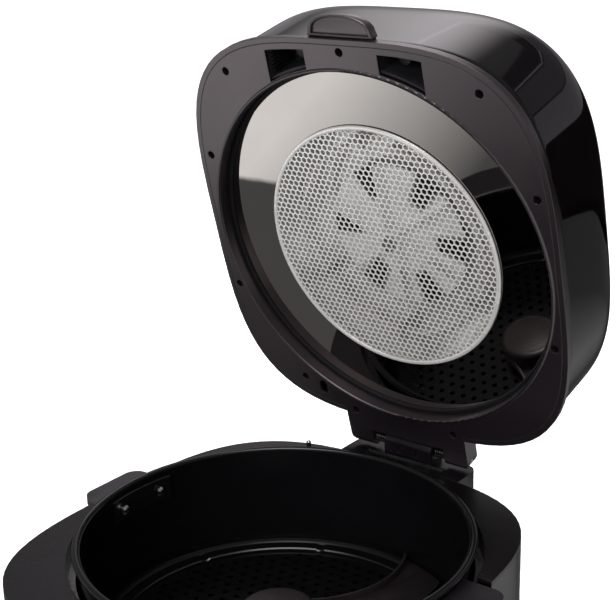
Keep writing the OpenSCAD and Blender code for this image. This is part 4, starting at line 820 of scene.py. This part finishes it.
shader = add(tree, "ShaderNodeBsdfPrincipled", {"Base Color": tone.outputs[2], "Metallic": 0.5,
                                                "Roughness": 0.28})
add(tree, "ShaderNodeOutputMaterial", {"Surface": shader.outputs[0]})
dress(shaded_fan_aluminium, "hot_air_fan")
dress(sheath, "heating_element")
dress(zinc, "element_clips", "motor_stand")
dress(steatite, "terminals", "thermostat")
dress(motor_steel, "fan_motor")
dress(screw_steel, "fan_nut", "fan_shaft")
dress(inner_abs, "cooling_fan")


# ---- Outer shell of the lid ---------------------------------------------------------------
# The lid's cover is one deep gloss moulding with a rounded top edge and an inset top panel. Its
# wall is open at the back for the louvred vent.
lid_wall_t, shell_low, straight_h, lid_h, trim_w = 2.6 * MM, 2.8 * MM, 60 * MM, 92 * MM, 4 * MM
shell_mid, edge_in, edge_power, edge_steps = 16 * MM, 16 * MM, 2.8, 14
panel_in, panel_sink = trim_w + 30 * MM, 1.2 * MM
vent_half, vent_z, vent_h = 36 * MM, 45 * MM, 28 * MM


def outline(half_w, half_d, power, mid_y, angles):
    return [(half_w * math.copysign(abs(math.cos(a)) ** (2 / power), math.cos(a)),
             mid_y + half_d * math.copysign(abs(math.sin(a)) ** (2 / power), math.sin(a)))
            for a in angles]


def even_angles(half_w, half_d, power, count):
    fine = [2 * math.pi * k / 7200 for k in range(7201)]
    points = outline(half_w, half_d, power, 0.0, fine)
    run = [0.0]
    for p, q in zip(points, points[1:]):
        run.append(run[-1] + math.hypot(q[0] - p[0], q[1] - p[1]))
    angles, k = [], 0
    for j in range(count):
        goal = run[-1] * j / count
        while run[k + 1] < goal:
            k += 1
        angles.append(fine[k] + (fine[k + 1] - fine[k]) * (goal - run[k]) / (run[k + 1] - run[k]))
    return angles


angles = even_angles(lid_half_w - trim_w, lid_half_d - trim_w, lid_square, 240)
cut = math.acos((vent_half / (lid_half_w - trim_w)) ** (lid_square / 2))
for target in (cut, math.pi - cut):
    nearest = min(range(len(angles)), key=lambda k: abs(angles[k] - target))
    angles[nearest] = target
levels = [(trim_w, shell_low), (trim_w, shell_mid), (trim_w, vent_z - vent_h / 2),
          (trim_w, vent_z + vent_h / 2), (trim_w, straight_h)]
for k in range(1, edge_steps + 1):
    a = math.pi / 2 * k / edge_steps
    levels.append((trim_w + edge_in * (1 - math.cos(a) ** (2 / edge_power)),
                   straight_h + (lid_h - straight_h) * math.sin(a) ** (2 / edge_power)))
levels += [(panel_in - 0.4 * MM, lid_h), (panel_in, lid_h - 0.4 * MM),
           (panel_in, lid_h - panel_sink)]
shape = bmesh.new()
rings = [[shape.verts.new((x, y, h)) for x, y in
          outline(lid_half_w - inset, lid_half_d - inset, lid_square, lid_mid_y, angles)]
         for inset, h in levels]
for low, high, top_level in zip(rings, rings[1:], levels[1:]):
    for k in range(len(angles)):
        n = (k + 1) % len(angles)
        middle_a = (angles[k] + (angles[n] if n else 2 * math.pi)) / 2
        in_vent = cut < middle_a < math.pi - cut and top_level[1] == vent_z + vent_h / 2
        if not in_vent:
            shape.faces.new((low[k], low[n], high[n], high[k]))
shape.faces.new(rings[-1])
mesh = mesh_from(shape, "lid_cover")
mesh.transform(lid_place)
smoothed(mesh, 40)
cover = stand_in("lid_cover", mesh, gloss_abs, "lid_shell")
wall = cover.modifiers.new("wall", "SOLIDIFY")
wall.thickness = lid_wall_t
wall.offset = -1.0
dress(gloss_abs, "lid_top_panel")
dress(inner_abs, "vent_grille")
